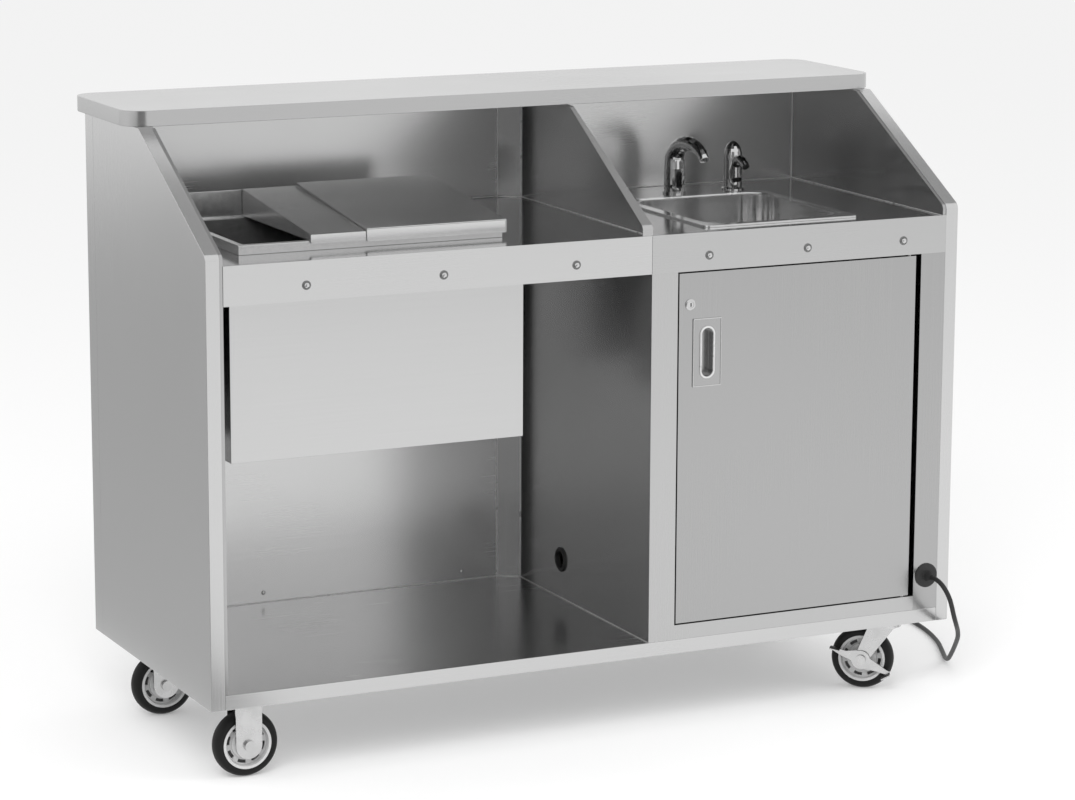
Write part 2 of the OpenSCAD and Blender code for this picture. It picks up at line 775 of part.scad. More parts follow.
// Basket strainer and tailpiece
module sink_drain() color(zinc) bar() translate([sink_cx, sink_cy, bowl_floor]) {
    difference() {
        rotate_extrude() polygon([
            [0, -6], [25, -6], [25, 0], [36, 0], [34, 2], [26, 2], [21, -4], [0, -4]
        ]);
        for (i = [0:5]) rotate(i * 60) translate([12, 0, -8]) cylinder(h = 6, r = 3);
    }
    difference() {
        translate([0, 0, -drain_l]) cylinder(h = drain_l - 5.5, r = 19);
        translate([0, 0, -drain_l - 1]) cylinder(h = drain_l - 3, r = 17);
    }
    difference() {
        translate([0, 0, -12]) cylinder(h = 10, r = 32);
        translate([0, 0, -13]) cylinder(h = 12, r = 18.5);
    }
}

// Oval outline of a sensor window
module oval(w, h) {
    r = min(w, h) / 2;
    for (s = [-1, 1]) translate([s * (w / 2 - r), s * (h / 2 - r)]) circle(r);
    square([w - (w > h ? 2 * r : 0), h - (h > w ? 2 * r : 0)], center = true);
}

module tap_window() along_y(tap_y - tap_r - 0.8, 7) translate([tap_x, deck_z + 29]) oval(12, 36);

module soap_window() along_y(soap_y - soap_r - 0.8, 7) translate([soap_x, deck_z + 21]) oval(20, 9.5);

module sensor_windows() color(black) bar() {
    tap_window();
    soap_window();
}

module sensor_tap() color(bright) bar() difference() {
    union() {
        arc_r = tap_reach / (1 - cos(150));
        rise = tap_h - 17 - 0.62 * arc_r;
        body = [for (i = [0:4]) [tap_x, tap_y, deck_z + 3 + i * rise / 4]];
        neck = [for (i = [1:12]) let (a = i * 12.5) [
            tap_x, tap_y - arc_r * (1 - cos(a)), deck_z + 3 + rise + 0.62 * arc_r * sin(a)
        ]];
        p = concat(body, neck);
        tube(p, [for (i = [0:len(p) - 1]) max(tap_r - (i < 4 ? 0 : (i - 3) * 0.85), 11)], 28);
        translate([tap_x, tap_y, deck_z]) cylinder(h = 4, r = 24);
        translate([tap_x, tap_y, deck_z - shank_l]) cylinder(h = shank_l + 1, r = 12);
        translate([tap_x, tap_y, deck_z - sheet - 7]) cylinder(h = 7, r = 20, $fn = 6);
    }
    tap_window();
}

module soap_tap() color(bright) bar() difference() {
    union() {
        translate([soap_x, soap_y, deck_z]) rotate_extrude() polygon(concat(
            [[0, 0], [24, 0], [24, 2.5], [soap_r, 5]],
            [for (i = [0:8]) [soap_r * cos(i * 11.25), soap_h - 34 + 34 * sin(i * 11.25)]]));
        p = [for (i = [0:6]) [soap_x, soap_y - 8 - i * 8, deck_z + 52 + 12 * sin(i * 30)]];
        tube(p, [for (i = [0:6]) 12 - i * 0.7], 20);
        translate([soap_x, soap_y, deck_z - shank_l]) cylinder(h = shank_l + 1, r = 12);
        translate([soap_x, soap_y, deck_z - sheet - 7]) cylinder(h = 7, r = 20, $fn = 6);
    }
    soap_window();
}

// Upright slot outline with round ends
module slot(w, h) {
    square([w, h - w], center = true);
    for (s = [-1, 1]) translate([0, s * (h - w) / 2]) circle(w / 2);
}

module door_panel() color(steel) bar() difference() {
    block([door_l, 0, door_z0], [door_r, door_t, door_z1]);
    difference() {
        block([door_l + sheet, sheet, door_z0 + sheet], [door_r - sheet, door_t + 1, door_z1 - sheet]);
        block([door_l, door_t - sheet, door_z0], [door_l + 14, door_t, door_z1]);
        block([door_r - 14, door_t - sheet, door_z0], [door_r, door_t, door_z1]);
    }
    along_y(-1, sheet + 2) translate([pull_x, pull_z]) slot(slot_w + 8, slot_h + 8);
    translate([lock_x, -1, lock_z]) rotate([-90, 0, 0]) cylinder(h = sheet + 2, r = 9.1);
    translate([pivot_x, pivot_y, door_z0 - 1]) cylinder(h = sheet + 2, r = pivot_d / 2 + 0.1);
    translate([pivot_x, pivot_y, door_z1 - sheet - 1]) cylinder(h = sheet + 2, r = pivot_d / 2 + 0.1);
}

// Pivot pins fixed in the door's two ends, each with a thrust collar
module door_pins() color(zinc) bar() translate([pivot_x, pivot_y, 0]) {
    rim = door_gap - 0.3;
    translate([0, 0, sill_z - 7]) cylinder(h = door_gap + 7 + sheet + 4, r = pivot_d / 2);
    translate([0, 0, door_z0 - rim]) cylinder(h = rim, r = 6);
    translate([0, 0, door_z0 + sheet]) cylinder(h = 3, r = 7);
    translate([0, 0, door_z1 - sheet - 4]) cylinder(h = sheet + 4 + door_gap + 7, r = pivot_d / 2);
    translate([0, 0, door_z1 - sheet - 3]) cylinder(h = 3, r = 7);
}

// Recessed pull: a bevelled plate with a rolled slot and a closed cup behind
module door_pull() color(bright) bar() {
    plate = 1.2;
    difference() {
        union() {
            along_y(-plate, plate) translate([pull_x - pull_w / 2, pull_z - pull_h / 2])
                round_rect(pull_w, pull_h, 3);
            along_y(-plate - 1, plate + 1) translate([pull_x, pull_z]) slot(slot_w + 5, slot_h + 5);
            along_y(0, pull_cup) translate([pull_x, pull_z]) slot(slot_w + 6, slot_h + 6);
        }
        along_y(-3, pull_cup + 1.5) translate([pull_x, pull_z]) slot(slot_w, slot_h);
    }
}

module lock_body() color(bright) bar() translate([lock_x, 0, lock_z]) rotate([90, 0, 0]) difference() {
    union() {
        rotate_extrude() polygon([[0, 0], [lock_d / 2, 0], [lock_d / 2, 1.5], [8.5, 3.2], [0, 3.2]]);
        translate([0, 0, -18]) cylinder(h = 18.5, r = 9);
        translate([0, 0, -sheet - 5]) cylinder(h = 5, r = 13, $fn = 6);
    }
    translate([0, 0, -20]) cylinder(h = 30, r = plug_d / 2 + 0.05);
}

// Key plug with its cam, drawn unlocked with the cam upright
module lock_plug() color(zinc) bar() translate([lock_x, 0, lock_z]) {
    rotate([90, 0, 0]) difference() {
        translate([0, 0, -cam_y - cam_t - 4]) cylinder(h = cam_y + cam_t + 4 + 2.6, r = plug_d / 2);
        translate([-0.9, -3.4, 0.6]) cube([1.8, 6.8, 4]);
    }
    along_y(cam_y, cam_t) {
        circle(9);
        translate([-7, 0]) square([14, cam_len - 7]);
        translate([0, cam_len - 7]) circle(7);
    }
}

module partition_grommet() color(rubber) bar()
    translate([partition_x + sheet / 2, hole_y, hole_z]) rotate([0, 90, 0])
    rotate_extrude() polygon([
        [grommet_r - 4, -5], [grommet_r + 1, -5], [grommet_r + 4, -3], [grommet_r + 4, -sheet / 2],
        [grommet_r - 0.1, -sheet / 2], [grommet_r - 0.1, sheet / 2], [grommet_r + 4, sheet / 2],
        [grommet_r + 4, 3], [grommet_r + 1, 5], [grommet_r - 4, 5]
    ]);

// Bushing in the right stile with a tapered strain relief for the cord
module cord_bushing() color(rubber) bar() translate([bush_x, 0, bush_z]) rotate([90, 0, 0])
    difference() {
        rotate_extrude() polygon([
            [0, -14], [18.8, -14], [18.8, -sheet], [17, -sheet], [17, 0], [24.5, 0], [24.5, 2.5],
            [22, 4.5], [11, 5], [9.5, 8], [cord_r + 1.2, 24], [0, 24]
        ]);
        for (i = [0:2]) translate([0, 0, 10 + i * 4.5]) rotate_extrude()
            translate([10 - i * 1.1, 0]) square([3, 1.6]);
    }

module power_box() color(dark_steel) bar() difference() {
    block([opening_r + sheet + 6, 14, bush_z - 30], [right_in, 104, bush_z + 50]);
    block([opening_r + sheet + 5, 40, bush_z + 30], [opening_r + sheet + 8, 80, bush_z + 40]);
}

// A blow-moulded tank with a screw cap
module water_tank(x0) {
    translate([x0, tank_y, floor_z]) {
        difference() {
            tub(tank_w, tank_d, tank_h, 26, 12);
            for (z = [tank_h * 0.3, tank_h * 0.6]) translate([-1, tank_d * 0.2, z])
                cube([5, tank_d * 0.6, 14]);
        }
        translate([tank_w / 2, 60, tank_h]) {
            cylinder(h = 10, r = 26);
            translate([0, 0, 6]) difference() {
                cylinder(h = tank_cap_h - 6, r = 32);
                for (i = [0:17]) rotate(i * 20) translate([33, 0, -1]) cylinder(h = 20, r = 2.2);
            }
        }
    }
}

module water_tanks() color(tank_white) bar() for (x = [fresh_x, waste_x]) water_tank(x);

module water_pump() color(black) bar() translate([pump_x, pump_y, floor_z]) {
    motor_l = 72;
    axis_z = 38;
    block([-35, -40, 0], [35, 70, 5]);
    translate([0, -40, axis_z]) rotate([-90, 0, 0]) {
        cylinder(h = motor_l, r = 30);
        translate([0, 0, motor_l]) cylinder(h = 40, r = 34);
    }
    block([-22, -38, 4], [22, 66, 18]);
    for (s = [-1, 1]) translate([s * 30, motor_l - 20, axis_z]) rotate([0, s * 90, 0])
        cylinder(h = 16, r = 9);
}

module water_heater() color(tank_white) bar() translate([heater_x, heater_y, floor_z]) {
    tub(heater_w, heater_d, heater_h, 14, 6);
    block([heater_w / 2 - 35, heater_d - 2, heater_h - 60], [heater_w / 2 + 35, heater_d + 4, heater_h - 20]);
    for (x = [-25, 25]) translate([heater_w / 2 + x, heater_d / 2, heater_h - 2])
        cylinder(h = nipple_h + 2, r = 10);
}

// Supply lines and the sink's waste pipe
module water_lines() color(rubber) bar() {
    cap = [waste_x + tank_w / 2, tank_y + 60, floor_z + tank_h + tank_cap_h + 0.5];
    sink = [sink_cx, sink_cy, bowl_floor - drain_l - 0.5];
    warm = [heater_x + heater_w / 2 - 25, heater_y + heater_d / 2, floor_z + heater_h + nipple_h + 0.3];
    tap = [tap_x, tap_y, deck_z - shank_l - 0.5];
    waste = [
        sink, sink - [0, 0, 10], sink - [0, 0, 20], cap + [0, 0, 50], cap + [0, 0, 20], cap
    ];
    hot = [
        warm, warm + [0, 0, 20], warm + [0, 0, 50], warm + [-30, 0, 150], (warm + tap) / 2 + [0, 35, 80],
        tap + [16, 35, -60], tap - [0, 0, 25], tap - [0, 0, 10], tap
    ];
    waste_run = curve(waste, 4);
    hot_run = curve(hot, 4);
    tube(waste_run, [for (q = waste_run) 12], 10);
    tube(hot_run, [for (q = hot_run) 5], 8);
}

module soap_bottle() color(tank_white) bar() translate([soap_x, soap_y, 0]) {
    bottle_w = 76;
    bottle_h = 180;
    top_z = deck_z - shank_l - 40;
    translate([-bottle_w / 2, -bottle_w / 2, top_z - bottle_h]) tub(bottle_w, bottle_w, bottle_h, 24, 10);
    translate([0, 0, top_z - 1]) cylinder(h = 14, r = 21);
    translate([0, 0, top_z + 12]) cylinder(h = 27.7, r = 7);
}

// Top plate of a caster with its four bolt holes
module caster_plate() {
    hole_in = plate_w / 2 - 13;
    difference() {
        translate([-plate_w / 2, -plate_w / 2, plate_z]) linear_extrude(plate_t)
            round_rect(plate_w, plate_w, 8);
        for (x = [-hole_in, hole_in], y = [-hole_in, hole_in]) translate([x, y, plate_z - 1])
            cylinder(h = plate_t + 2, r = 4.5);
    }
}

// One leg of a fork, drawn in height and length with a round lower end
module leg(x0, thick, offset, top_a, top_b, top_z, r) {
    difference() {
        along_x(x0, thick) {
            polygon([[top_a, top_z], [top_b, top_z], [offset + r, axle_z], [offset - r, axle_z]]);
            translate([offset, axle_z]) circle(r);
        }
        translate([x0 - 1, offset, axle_z]) rotate([0, 90, 0]) cylinder(h = thick + 2, r = axle_d / 2 + 0.1);
    }
}

// Places a rigid caster's parts, so that a wheel drawn about X rolls along the bar
module rigid(y) {
    translate([rigid_x, y, 0]) rotate(90) children();
}

module rigid_forks() color(zinc) bar() for (y = [front_y, rear_y]) rigid(y) {
    caster_plate();
    translate([-leg_in - leg_t, -26, plate_z - 4]) cube([2 * (leg_in + leg_t), 52, 4.5]);
    for (x = [-leg_in - leg_t, leg_in]) leg(x, leg_t, 0, -26, 26, plate_z, 26);
}

// Axle bolt with its head on the left and its nut on the right, along X
module axle_bolt() {
    reach = leg_in + leg_t;
    translate([-reach - 7, 0, 0]) rotate([0, 90, 0]) cylinder(h = 7, r = bolt_r);
    translate([-reach - 1, 0, 0]) rotate([0, 90, 0]) cylinder(h = 2 * reach + 6, r = axle_d / 2);
    translate([reach, 0, 0]) rotate([0, 90, 0]) cylinder(h = 8, r = bolt_r, $fn = 6);
}

module rigid_axles() color(zinc) bar()
    for (y = [front_y, rear_y]) rigid(y) translate([0, 0, axle_z]) axle_bolt();

module swivel_plates() color(zinc) bar() for (y = [front_y, swivel_rear_y]) translate([swivel_x, y, 0]) {
    caster_plate();
    translate([0, 0, plate_z - 4]) cylinder(h = 4.5, r = 30);
    translate([0, 0, plate_z - 20]) cylinder(h = 20, r = king_r);
    translate([0, 0, plate_z - 24]) cylinder(h = 5, r = 10);
}

// Places a swivelling caster's parts, drawn with the trail along +Y
module swivelled(y) {
    translate([swivel_x, y, 0]) rotate(trail_a - 90) children();
}

module yoke(y) {
    disc_z = plate_z - 17;
    swivelled(y) {
        difference() {
            union() {
                translate([0, 0, disc_z]) cylinder(h = 12.5, r = 32);
                translate([-leg_in - leg_t, -24, disc_z]) cube([2 * (leg_in + leg_t), 52, 4]);
            }
            translate([0, 0, disc_z - 1]) cylinder(h = 20, r = king_r + wheel_fit);
        }
        for (x = [-leg_in - leg_t, leg_in]) leg(x, leg_t, trail, -24, 30, disc_z + 4, 15);
        translate([0, trail, axle_z]) axle_bolt();
    }
}

module front_yoke() color(zinc) bar() yoke(front_y);

module rear_yoke() color(zinc) bar() yoke(swivel_rear_y);

// Rocking toe lever on the yoke's outer face, turning on the axle bolt's head
module brake(y) {
    face = leg_in + leg_t + 0.5;
    swivelled(y) {
        along_x(-face - 3, 3) difference() {
            union() {
                polygon([
                    [trail + 62, 83], [trail + 60, 89], [trail + 30, 80], [trail + 8, 83],
                    [trail - 18, 68], [trail - 52, 46], [trail - 61, 41], [trail - 58, 35],
                    [trail - 30, 42], [trail - 6, 45], [trail + 16, 60], [trail + 42, 71]
                ]);
                translate([trail, axle_z]) circle(19);
            }
            translate([trail, axle_z]) circle(bolt_r + wheel_fit);
        }
        for (pad = [[trail + 44, 82, 12], [trail - 60, 37, -30]]) along_x(-face - 13, 11)
            translate([pad[0], pad[1]]) rotate(pad[2]) translate([-1, -2]) square([20, 4]);
    }
}

module front_brake() color(zinc) bar() brake(front_y);

module rear_brake() color(zinc) bar() brake(swivel_rear_y);

// Wheel centre: a rim and a boss joined by a web with eight arc slots, drawn about X
module wheel_centre() rotate([0, 90, 0]) difference() {
    rotate_extrude() polygon([
        [axle_d / 2 + wheel_fit, -hub_w / 2], [14, -hub_w / 2], [16, -11], [29, -9], [30, -5],
        [hub_r - 7, -6], [hub_r - 5, -wheel_w / 2], [hub_r, -wheel_w / 2], [hub_r, wheel_w / 2],
        [hub_r - 5, wheel_w / 2], [hub_r - 7, 6], [30, 5], [29, 9], [16, 11], [14, hub_w / 2],
        [axle_d / 2 + wheel_fit, hub_w / 2]
    ]);
    for (i = [0:7]) rotate(i * 45) rotate_extrude(angle = 27) translate([32, -10]) square([6.5, 20]);
}

// Tyre with a rounded tread, drawn about X
module tyre() rotate([0, 90, 0]) rotate_extrude($fn = 96) polygon(concat(
    [[hub_r + 0.05, -wheel_w / 2 + 0.5], [hub_r + 2.5, -wheel_w / 2]],
    [for (i = [-6:6]) [
        wheel_d / 2 - 9 * (1 - cos(i * 14.5)) / (1 - cos(87)), wheel_w / 2 * sin(i * 15)
    ]],
    [[hub_r + 2.5, wheel_w / 2], [hub_r + 0.05, wheel_w / 2 - 0.5]]
));

module left_front_wheel() color(zinc) bar() rigid(front_y) translate([0, 0, axle_z]) wheel_centre();

module left_rear_wheel() color(zinc) bar() rigid(rear_y) translate([0, 0, axle_z]) wheel_centre();

module right_front_wheel() color(zinc) bar()
    swivelled(front_y) translate([0, trail, axle_z]) wheel_centre();

module right_rear_wheel() color(zinc) bar()
    swivelled(swivel_rear_y) translate([0, trail, axle_z]) wheel_centre();

module left_front_tyre() color(rubber) bar() rigid(front_y) translate([0, 0, axle_z]) tyre();

module left_rear_tyre() color(rubber) bar() rigid(rear_y) translate([0, 0, axle_z]) tyre();

module right_front_tyre() color(rubber) bar() swivelled(front_y) translate([0, trail, axle_z]) tyre();

module right_rear_tyre() color(rubber) bar()
    swivelled(swivel_rear_y) translate([0, trail, axle_z]) tyre();

module supply_cord() color(rubber) bar() {
    run = curve(cord_route, 2);
    tube(run, [for (q = run) cord_r], 10);
}

module cord_coil() color(rubber) bar() {
    first = coil_run[0];
    last = coil_run[len(coil_run) - 1];
    run = concat([first - [0, lead, 0]], coil_run, [last + [0, lead_out, 0]]);
    tube(run, [for (q = run) cord_r], 6);
}

module cord_plug() color(rubber) bar()
    translate([route_end[0], route_end[1] + lead + lead_out + 0.2, cord_r + coil_pitch]) {
        neck = 13;
        grip = 34;
        rotate([-90, 0, 0]) cylinder(h = neck + 1, r1 = cord_r + 1.5, r2 = 10);
        translate([-15, neck, -14.9]) tub(30, grip, 26, 8, 4);
        for (x = [-6.35, 6.35]) translate([x - 0.75, neck + grip - 1, -3]) cube([1.5, 19, 6.3]);
        translate([0, neck + grip - 1, -9]) rotate([-90, 0, 0]) cylinder(h = 17, r = 2.4);
    }

base_pan();
left_side_panel();
right_side_panel();
side_liners();
back_panel();
back_liner();
corner_strip();
partition();
centre_stile();
right_stile();
left_fascia();
right_fascia();
rail_studs();
left_deck();
right_deck();
counter_top();
bin_jacket();
bin_well();
bin_collar();
sliding_cover();
lift_cover();
lift_cover_lip();
bin_drain();
hand_sink();
sink_rim();
sink_drain();
sensor_tap();
soap_tap();
sensor_windows();
door_panel();
door_pins();
door_pull();
lock_body();
lock_plug();
partition_grommet();
cord_bushing();
power_box();
water_tanks();
water_pump();
water_heater();
water_lines();
soap_bottle();
rigid_forks();
rigid_axles();
swivel_plates();
front_yoke();
rear_yoke();
front_brake();
rear_brake();
left_front_wheel();
left_rear_wheel();
right_front_wheel();
right_rear_wheel();
left_front_tyre();
left_rear_tyre();
right_front_tyre();
right_rear_tyre();
supply_cord();
cord_coil();
cord_plug();
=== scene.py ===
import json
import math

import bpy
from mathutils import Matrix, Vector

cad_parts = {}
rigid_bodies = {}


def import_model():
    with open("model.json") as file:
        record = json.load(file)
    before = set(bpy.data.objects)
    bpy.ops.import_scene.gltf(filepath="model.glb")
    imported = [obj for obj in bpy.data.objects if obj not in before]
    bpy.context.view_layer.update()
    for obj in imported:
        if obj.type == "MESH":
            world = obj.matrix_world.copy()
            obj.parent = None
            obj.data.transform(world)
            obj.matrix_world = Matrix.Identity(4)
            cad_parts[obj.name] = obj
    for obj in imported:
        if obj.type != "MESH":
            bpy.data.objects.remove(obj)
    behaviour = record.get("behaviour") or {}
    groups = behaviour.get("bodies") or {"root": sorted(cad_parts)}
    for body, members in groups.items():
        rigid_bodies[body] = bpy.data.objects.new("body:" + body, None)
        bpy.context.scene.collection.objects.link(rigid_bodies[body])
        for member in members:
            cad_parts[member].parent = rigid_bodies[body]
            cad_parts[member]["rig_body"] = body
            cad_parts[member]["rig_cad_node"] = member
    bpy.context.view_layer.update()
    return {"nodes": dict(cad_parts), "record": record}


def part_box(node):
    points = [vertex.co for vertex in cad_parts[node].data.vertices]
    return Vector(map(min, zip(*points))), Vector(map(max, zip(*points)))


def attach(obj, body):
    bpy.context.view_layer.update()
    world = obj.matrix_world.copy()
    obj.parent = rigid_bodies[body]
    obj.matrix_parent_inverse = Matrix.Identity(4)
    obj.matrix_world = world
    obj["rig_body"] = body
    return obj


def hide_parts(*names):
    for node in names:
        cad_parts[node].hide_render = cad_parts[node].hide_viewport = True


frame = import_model()
mm = 0.001
bpy.ops.object.select_all(action="DESELECT")
print("frame loaded:", len(frame["nodes"]), "nodes")

# The bar is drawn from its left front corner in the CAD, so that corner's place is used here too
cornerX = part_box("back_panel")[0].x
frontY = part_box("left_side_panel")[0].y


def place(x, y, z):  # millimetres from the left front corner and the floor, to metres in the frame
    return Vector((cornerX + x * mm, frontY + y * mm, z * mm))


# Camera: the photo's viewing angle, from a little above the counter and left of the middle
view = {
    "at": (-2231.6, -5989.8, 2029), "yaw": 25.773, "pitch": 11.444, "roll": 0.221,
    "lens": 120.87, "sensor": 36, "far": 60,
}


def makeCamera():
    bpy.ops.object.camera_add(location=place(*view["at"]))
    camera = bpy.context.object
    camera.name = "viewCamera"
    turn = Matrix.Rotation(math.radians(-view["yaw"]), 3, "Z")
    turn = turn @ Matrix.Rotation(math.radians(90 - view["pitch"]), 3, "X")
    turn = turn @ Matrix.Rotation(math.radians(view["roll"]), 3, "Z")
    camera.rotation_euler = turn.to_euler()
    camera.data.lens = view["lens"]
    camera.data.sensor_width = view["sensor"]
    camera.data.clip_end = view["far"]
    bpy.context.scene.camera = camera


makeCamera()
bpy.context.scene.view_settings.view_transform = "Standard"
print("camera set")


# Studio: white world and floor, one big soft lamp over the front left and a weaker one on the right.
# The shadow shares say how much of the bar's shadow the camera and the steel see on the floor
studio = {
    "world": 0.86, "shadowSeen": 0.8, "shadowMirrored": 0.35, "floorTone": 1.0, "floorSize": 40,
    "lampAim": (0, 0, 0.6),
}
lamps = {
    "keyLamp": {"at": (-2.6, -3.4, 3.6), "size": 2.6, "power": 120},
    "sideLamp": {"at": (3.4, -2.6, 2.6), "size": 2.0, "power": 45},
}


def makeWorld():
    world = bpy.data.worlds.new("studioWorld")
    bpy.context.scene.world = world
    world.use_nodes = True
    tree = world.node_tree
    tree.nodes.clear()
    output = tree.nodes.new("ShaderNodeOutputWorld")
    blend = tree.nodes.new("ShaderNodeMixShader")
    ray = tree.nodes.new("ShaderNodeLightPath")
    seen = tree.nodes.new("ShaderNodeMath")
    seen.operation = "MAXIMUM"
    glass = tree.nodes.new("ShaderNodeMath")
    glass.operation = "MAXIMUM"
    light = tree.nodes.new("ShaderNodeBackground")
    light.inputs["Strength"].default_value = studio["world"]
    white = tree.nodes.new("ShaderNodeBackground")
    for shade in (light, white):
        shade.inputs["Color"].default_value = (1, 1, 1, 1)
    tree.links.new(ray.outputs["Is Camera Ray"], seen.inputs[0])
    tree.links.new(ray.outputs["Is Glossy Ray"], seen.inputs[1])
    tree.links.new(seen.outputs[0], glass.inputs[0])
    tree.links.new(ray.outputs["Is Transmission Ray"], glass.inputs[1])
    tree.links.new(glass.outputs[0], blend.inputs["Fac"])
    tree.links.new(light.outputs[0], blend.inputs[1])
    tree.links.new(white.outputs[0], blend.inputs[2])
    tree.links.new(blend.outputs[0], output.inputs["Surface"])


def makeFloor():
    bpy.ops.mesh.primitive_plane_add(size=studio["floorSize"], location=(0, 0, 0))
    floor = bpy.context.object
    floor.name = "studioFloor"
    material = bpy.data.materials.new("floorPaper")
    material.use_nodes = True
    tree = material.node_tree
    tree.nodes.clear()
    output = tree.nodes.new("ShaderNodeOutputMaterial")
    paper = tree.nodes.new("ShaderNodeBsdfDiffuse")
    tone = studio["floorTone"]
    paper.inputs["Color"].default_value = (tone, tone, tone, 1)
    glow = tree.nodes.new("ShaderNodeEmission")
    glow.inputs["Strength"].default_value = 1
    mix = tree.nodes.new("ShaderNodeMixShader")
    ray = tree.nodes.new("ShaderNodeLightPath")
    seen = tree.nodes.new("ShaderNodeMath")
    seen.operation = "MULTIPLY"
    seen.inputs[1].default_value = 1 - studio["shadowSeen"]
    share = tree.nodes.new("ShaderNodeMath")
    share.operation = "MULTIPLY_ADD"
    share.inputs[1].default_value = 1 - studio["shadowMirrored"]
    tree.links.new(ray.outputs["Is Camera Ray"], seen.inputs[0])
    tree.links.new(ray.outputs["Is Glossy Ray"], share.inputs[0])
    tree.links.new(seen.outputs[0], share.inputs[2])
    tree.links.new(share.outputs[0], mix.inputs["Fac"])
    tree.links.new(paper.outputs[0], mix.inputs[1])
    tree.links.new(glow.outputs[0], mix.inputs[2])
    tree.links.new(mix.outputs[0], output.inputs["Surface"])
    floor.data.materials.append(material)


# Grey flags round the bar, out of the picture: steel that faces them turns darker
flags = {
    "frontFloorFlag": {"low": (-6.6, -7.2, 0.002), "high": (-0.5, -0.75, 0.002), "tone": 0.3},
    "standingFlag": {"low": (-6.6, -7.2, 0), "high": (-0.8, -7.2, 4.5), "tone": 0.3},
    "sideFloorFlag": {"low": (-5, -0.3, 0.002), "high": (-0.95, 7.5, 0.002), "tone": 0.54},
    "ceilingFlag": {"low": (-0.8, -0.4, 4.6), "high": (4.4, 2.8, 4.6), "tone": 0.42},
}


def makeFlagCloth(tone):
    material = bpy.data.materials.new("flagCloth")
    material.use_nodes = True
    tree = material.node_tree
    tree.nodes.clear()
    output = tree.nodes.new("ShaderNodeOutputMaterial")
    cloth = tree.nodes.new("ShaderNodeBsdfDiffuse")
    cloth.inputs["Color"].default_value = (tone, tone, tone, 1)
    tree.links.new(cloth.outputs[0], output.inputs["Surface"])
    return material


def makeFlags():
    for name, flag in flags.items():
        low, high = Vector(flag["low"]), Vector(flag["high"])
        bpy.ops.mesh.primitive_plane_add(size=1, location=(low + high) / 2)
        card = bpy.context.object
        card.name = name
        size = high - low
        if size.z > size.y:
            card.rotation_euler.x = math.radians(90)
            card.scale = (size.x, size.z, 1)
        else:
            card.scale = (size.x, size.y, 1)
        card.visible_camera = False
        card.visible_diffuse = False
        card.visible_shadow = False
        card.data.materials.append(makeFlagCloth(flag["tone"]))


def makeLamps():
    for name, lamp in lamps.items():
        bpy.ops.object.light_add(type="AREA", location=lamp["at"])
        light = bpy.context.object
        light.name = name
        light.data.size = lamp["size"]
        light.data.energy = lamp["power"]
        light.visible_glossy = False
        aim = Vector(studio["lampAim"]) - Vector(lamp["at"])
        light.rotation_euler = aim.to_track_quat("-Z", "Y").to_euler()


makeWorld()
makeFloor()
makeFlags()
makeLamps()
print("studio lit")


# Materials
def newMaterial(name):
    material = bpy.data.materials.new(name)
    material.use_nodes = True
    return material, material.node_tree, material.node_tree.nodes["Principled BSDF"]


def threeTones(tone):  # one number stands for a grey
    return tone if isinstance(tone, tuple) else (tone, tone, tone)


def patternNoise(tree, stretch, detail, centre=(0, 0, 0)):  # noise on Object coordinates
    coords = tree.nodes.new("ShaderNodeTexCoord")
    mapping = tree.nodes.new("ShaderNodeMapping")
    mapping.inputs["Scale"].default_value = stretch
    mapping.inputs["Location"].default_value = centre
    noise = tree.nodes.new("ShaderNodeTexNoise")
    noise.inputs["Scale"].default_value = 1
    noise.inputs["Detail"].default_value = detail
    tree.links.new(coords.outputs["Object"], mapping.inputs["Vector"])
    tree.links.new(mapping.outputs["Vector"], noise.inputs["Vector"])
    return noise.outputs["Fac"]


noiseSpan = (0.3, 0.7)  # the part of the noise's range that most of it falls in


def remap(tree, source, low, high):
    node = tree.nodes.new("ShaderNodeMapRange")
    node.inputs["From Min"].default_value = noiseSpan[0]
    node.inputs["From Max"].default_value = noiseSpan[1]
    node.inputs["To Min"].default_value = low
    node.inputs["To Max"].default_value = high
    tree.links.new(source, node.inputs["Value"])
    return node.outputs["Result"]


def addBump(tree, shader, source, strength, distance):
    bump = tree.nodes.new("ShaderNodeBump")
    bump.inputs["Strength"].default_value = strength
    bump.inputs["Distance"].default_value = distance
    tree.links.new(source, bump.inputs["Height"])
    tree.links.new(bump.outputs["Normal"], shader.inputs["Normal"])


def tintByNoise(tree, shader, noise, dark, light):
    ramp = tree.nodes.new("ShaderNodeValToRGB")
    setRamp(ramp, ((noiseSpan[0], dark), (noiseSpan[1], light)))
    tree.links.new(noise, ramp.inputs["Fac"])
    tree.links.new(ramp.outputs["Color"], shader.inputs["Base Color"])


def setRamp(ramp, stops):
    for stop, (spot, tone) in zip(ramp.color_ramp.elements, stops):
        stop.position = spot
        stop.color = (*threeTones(tone), 1)


# Stainless finishes: tone, roughness and the way the grain runs, as noise per metre along X, Y and Z.
# A metal share under 1 lifts the corners, where steel mirrors steel many times
steelGrain = {"detail": 5, "tint": 0.015, "spread": 0.03, "depth": 0.0004}
clouding = {
    "stretch": (2.2, 2.2, 2.2), "detail": 3, "centre": (3.1, 1.7, 0.4), "rougher": (-0.02, 0.03),
}
steels = {
    "satin_steel": {"tone": 0.6, "rough": 0.24, "grain": (3, 900, 900), "bump": 0.012},
    "inner_steel": {"tone": 0.56, "rough": 0.12, "grain": (3, 900, 900), "bump": 0.1, "metal": 0.975},
    "cover_steel": {"tone": 0.66, "rough": 0.18, "grain": (900, 3, 900), "bump": 0.008, "metal": 0.88},
    # the sink's high tone is painted light, so that the bowl reads as bright as its reflections
    "sink_steel": {"tone": 0.82, "rough": 0.13, "grain": (90, 90, 90), "bump": 0.008, "metal": 0.96},
    "well_steel": {"tone": 0.6, "rough": 0.2, "grain": (90, 90, 90), "bump": 0.008, "metal": 0.9},
}


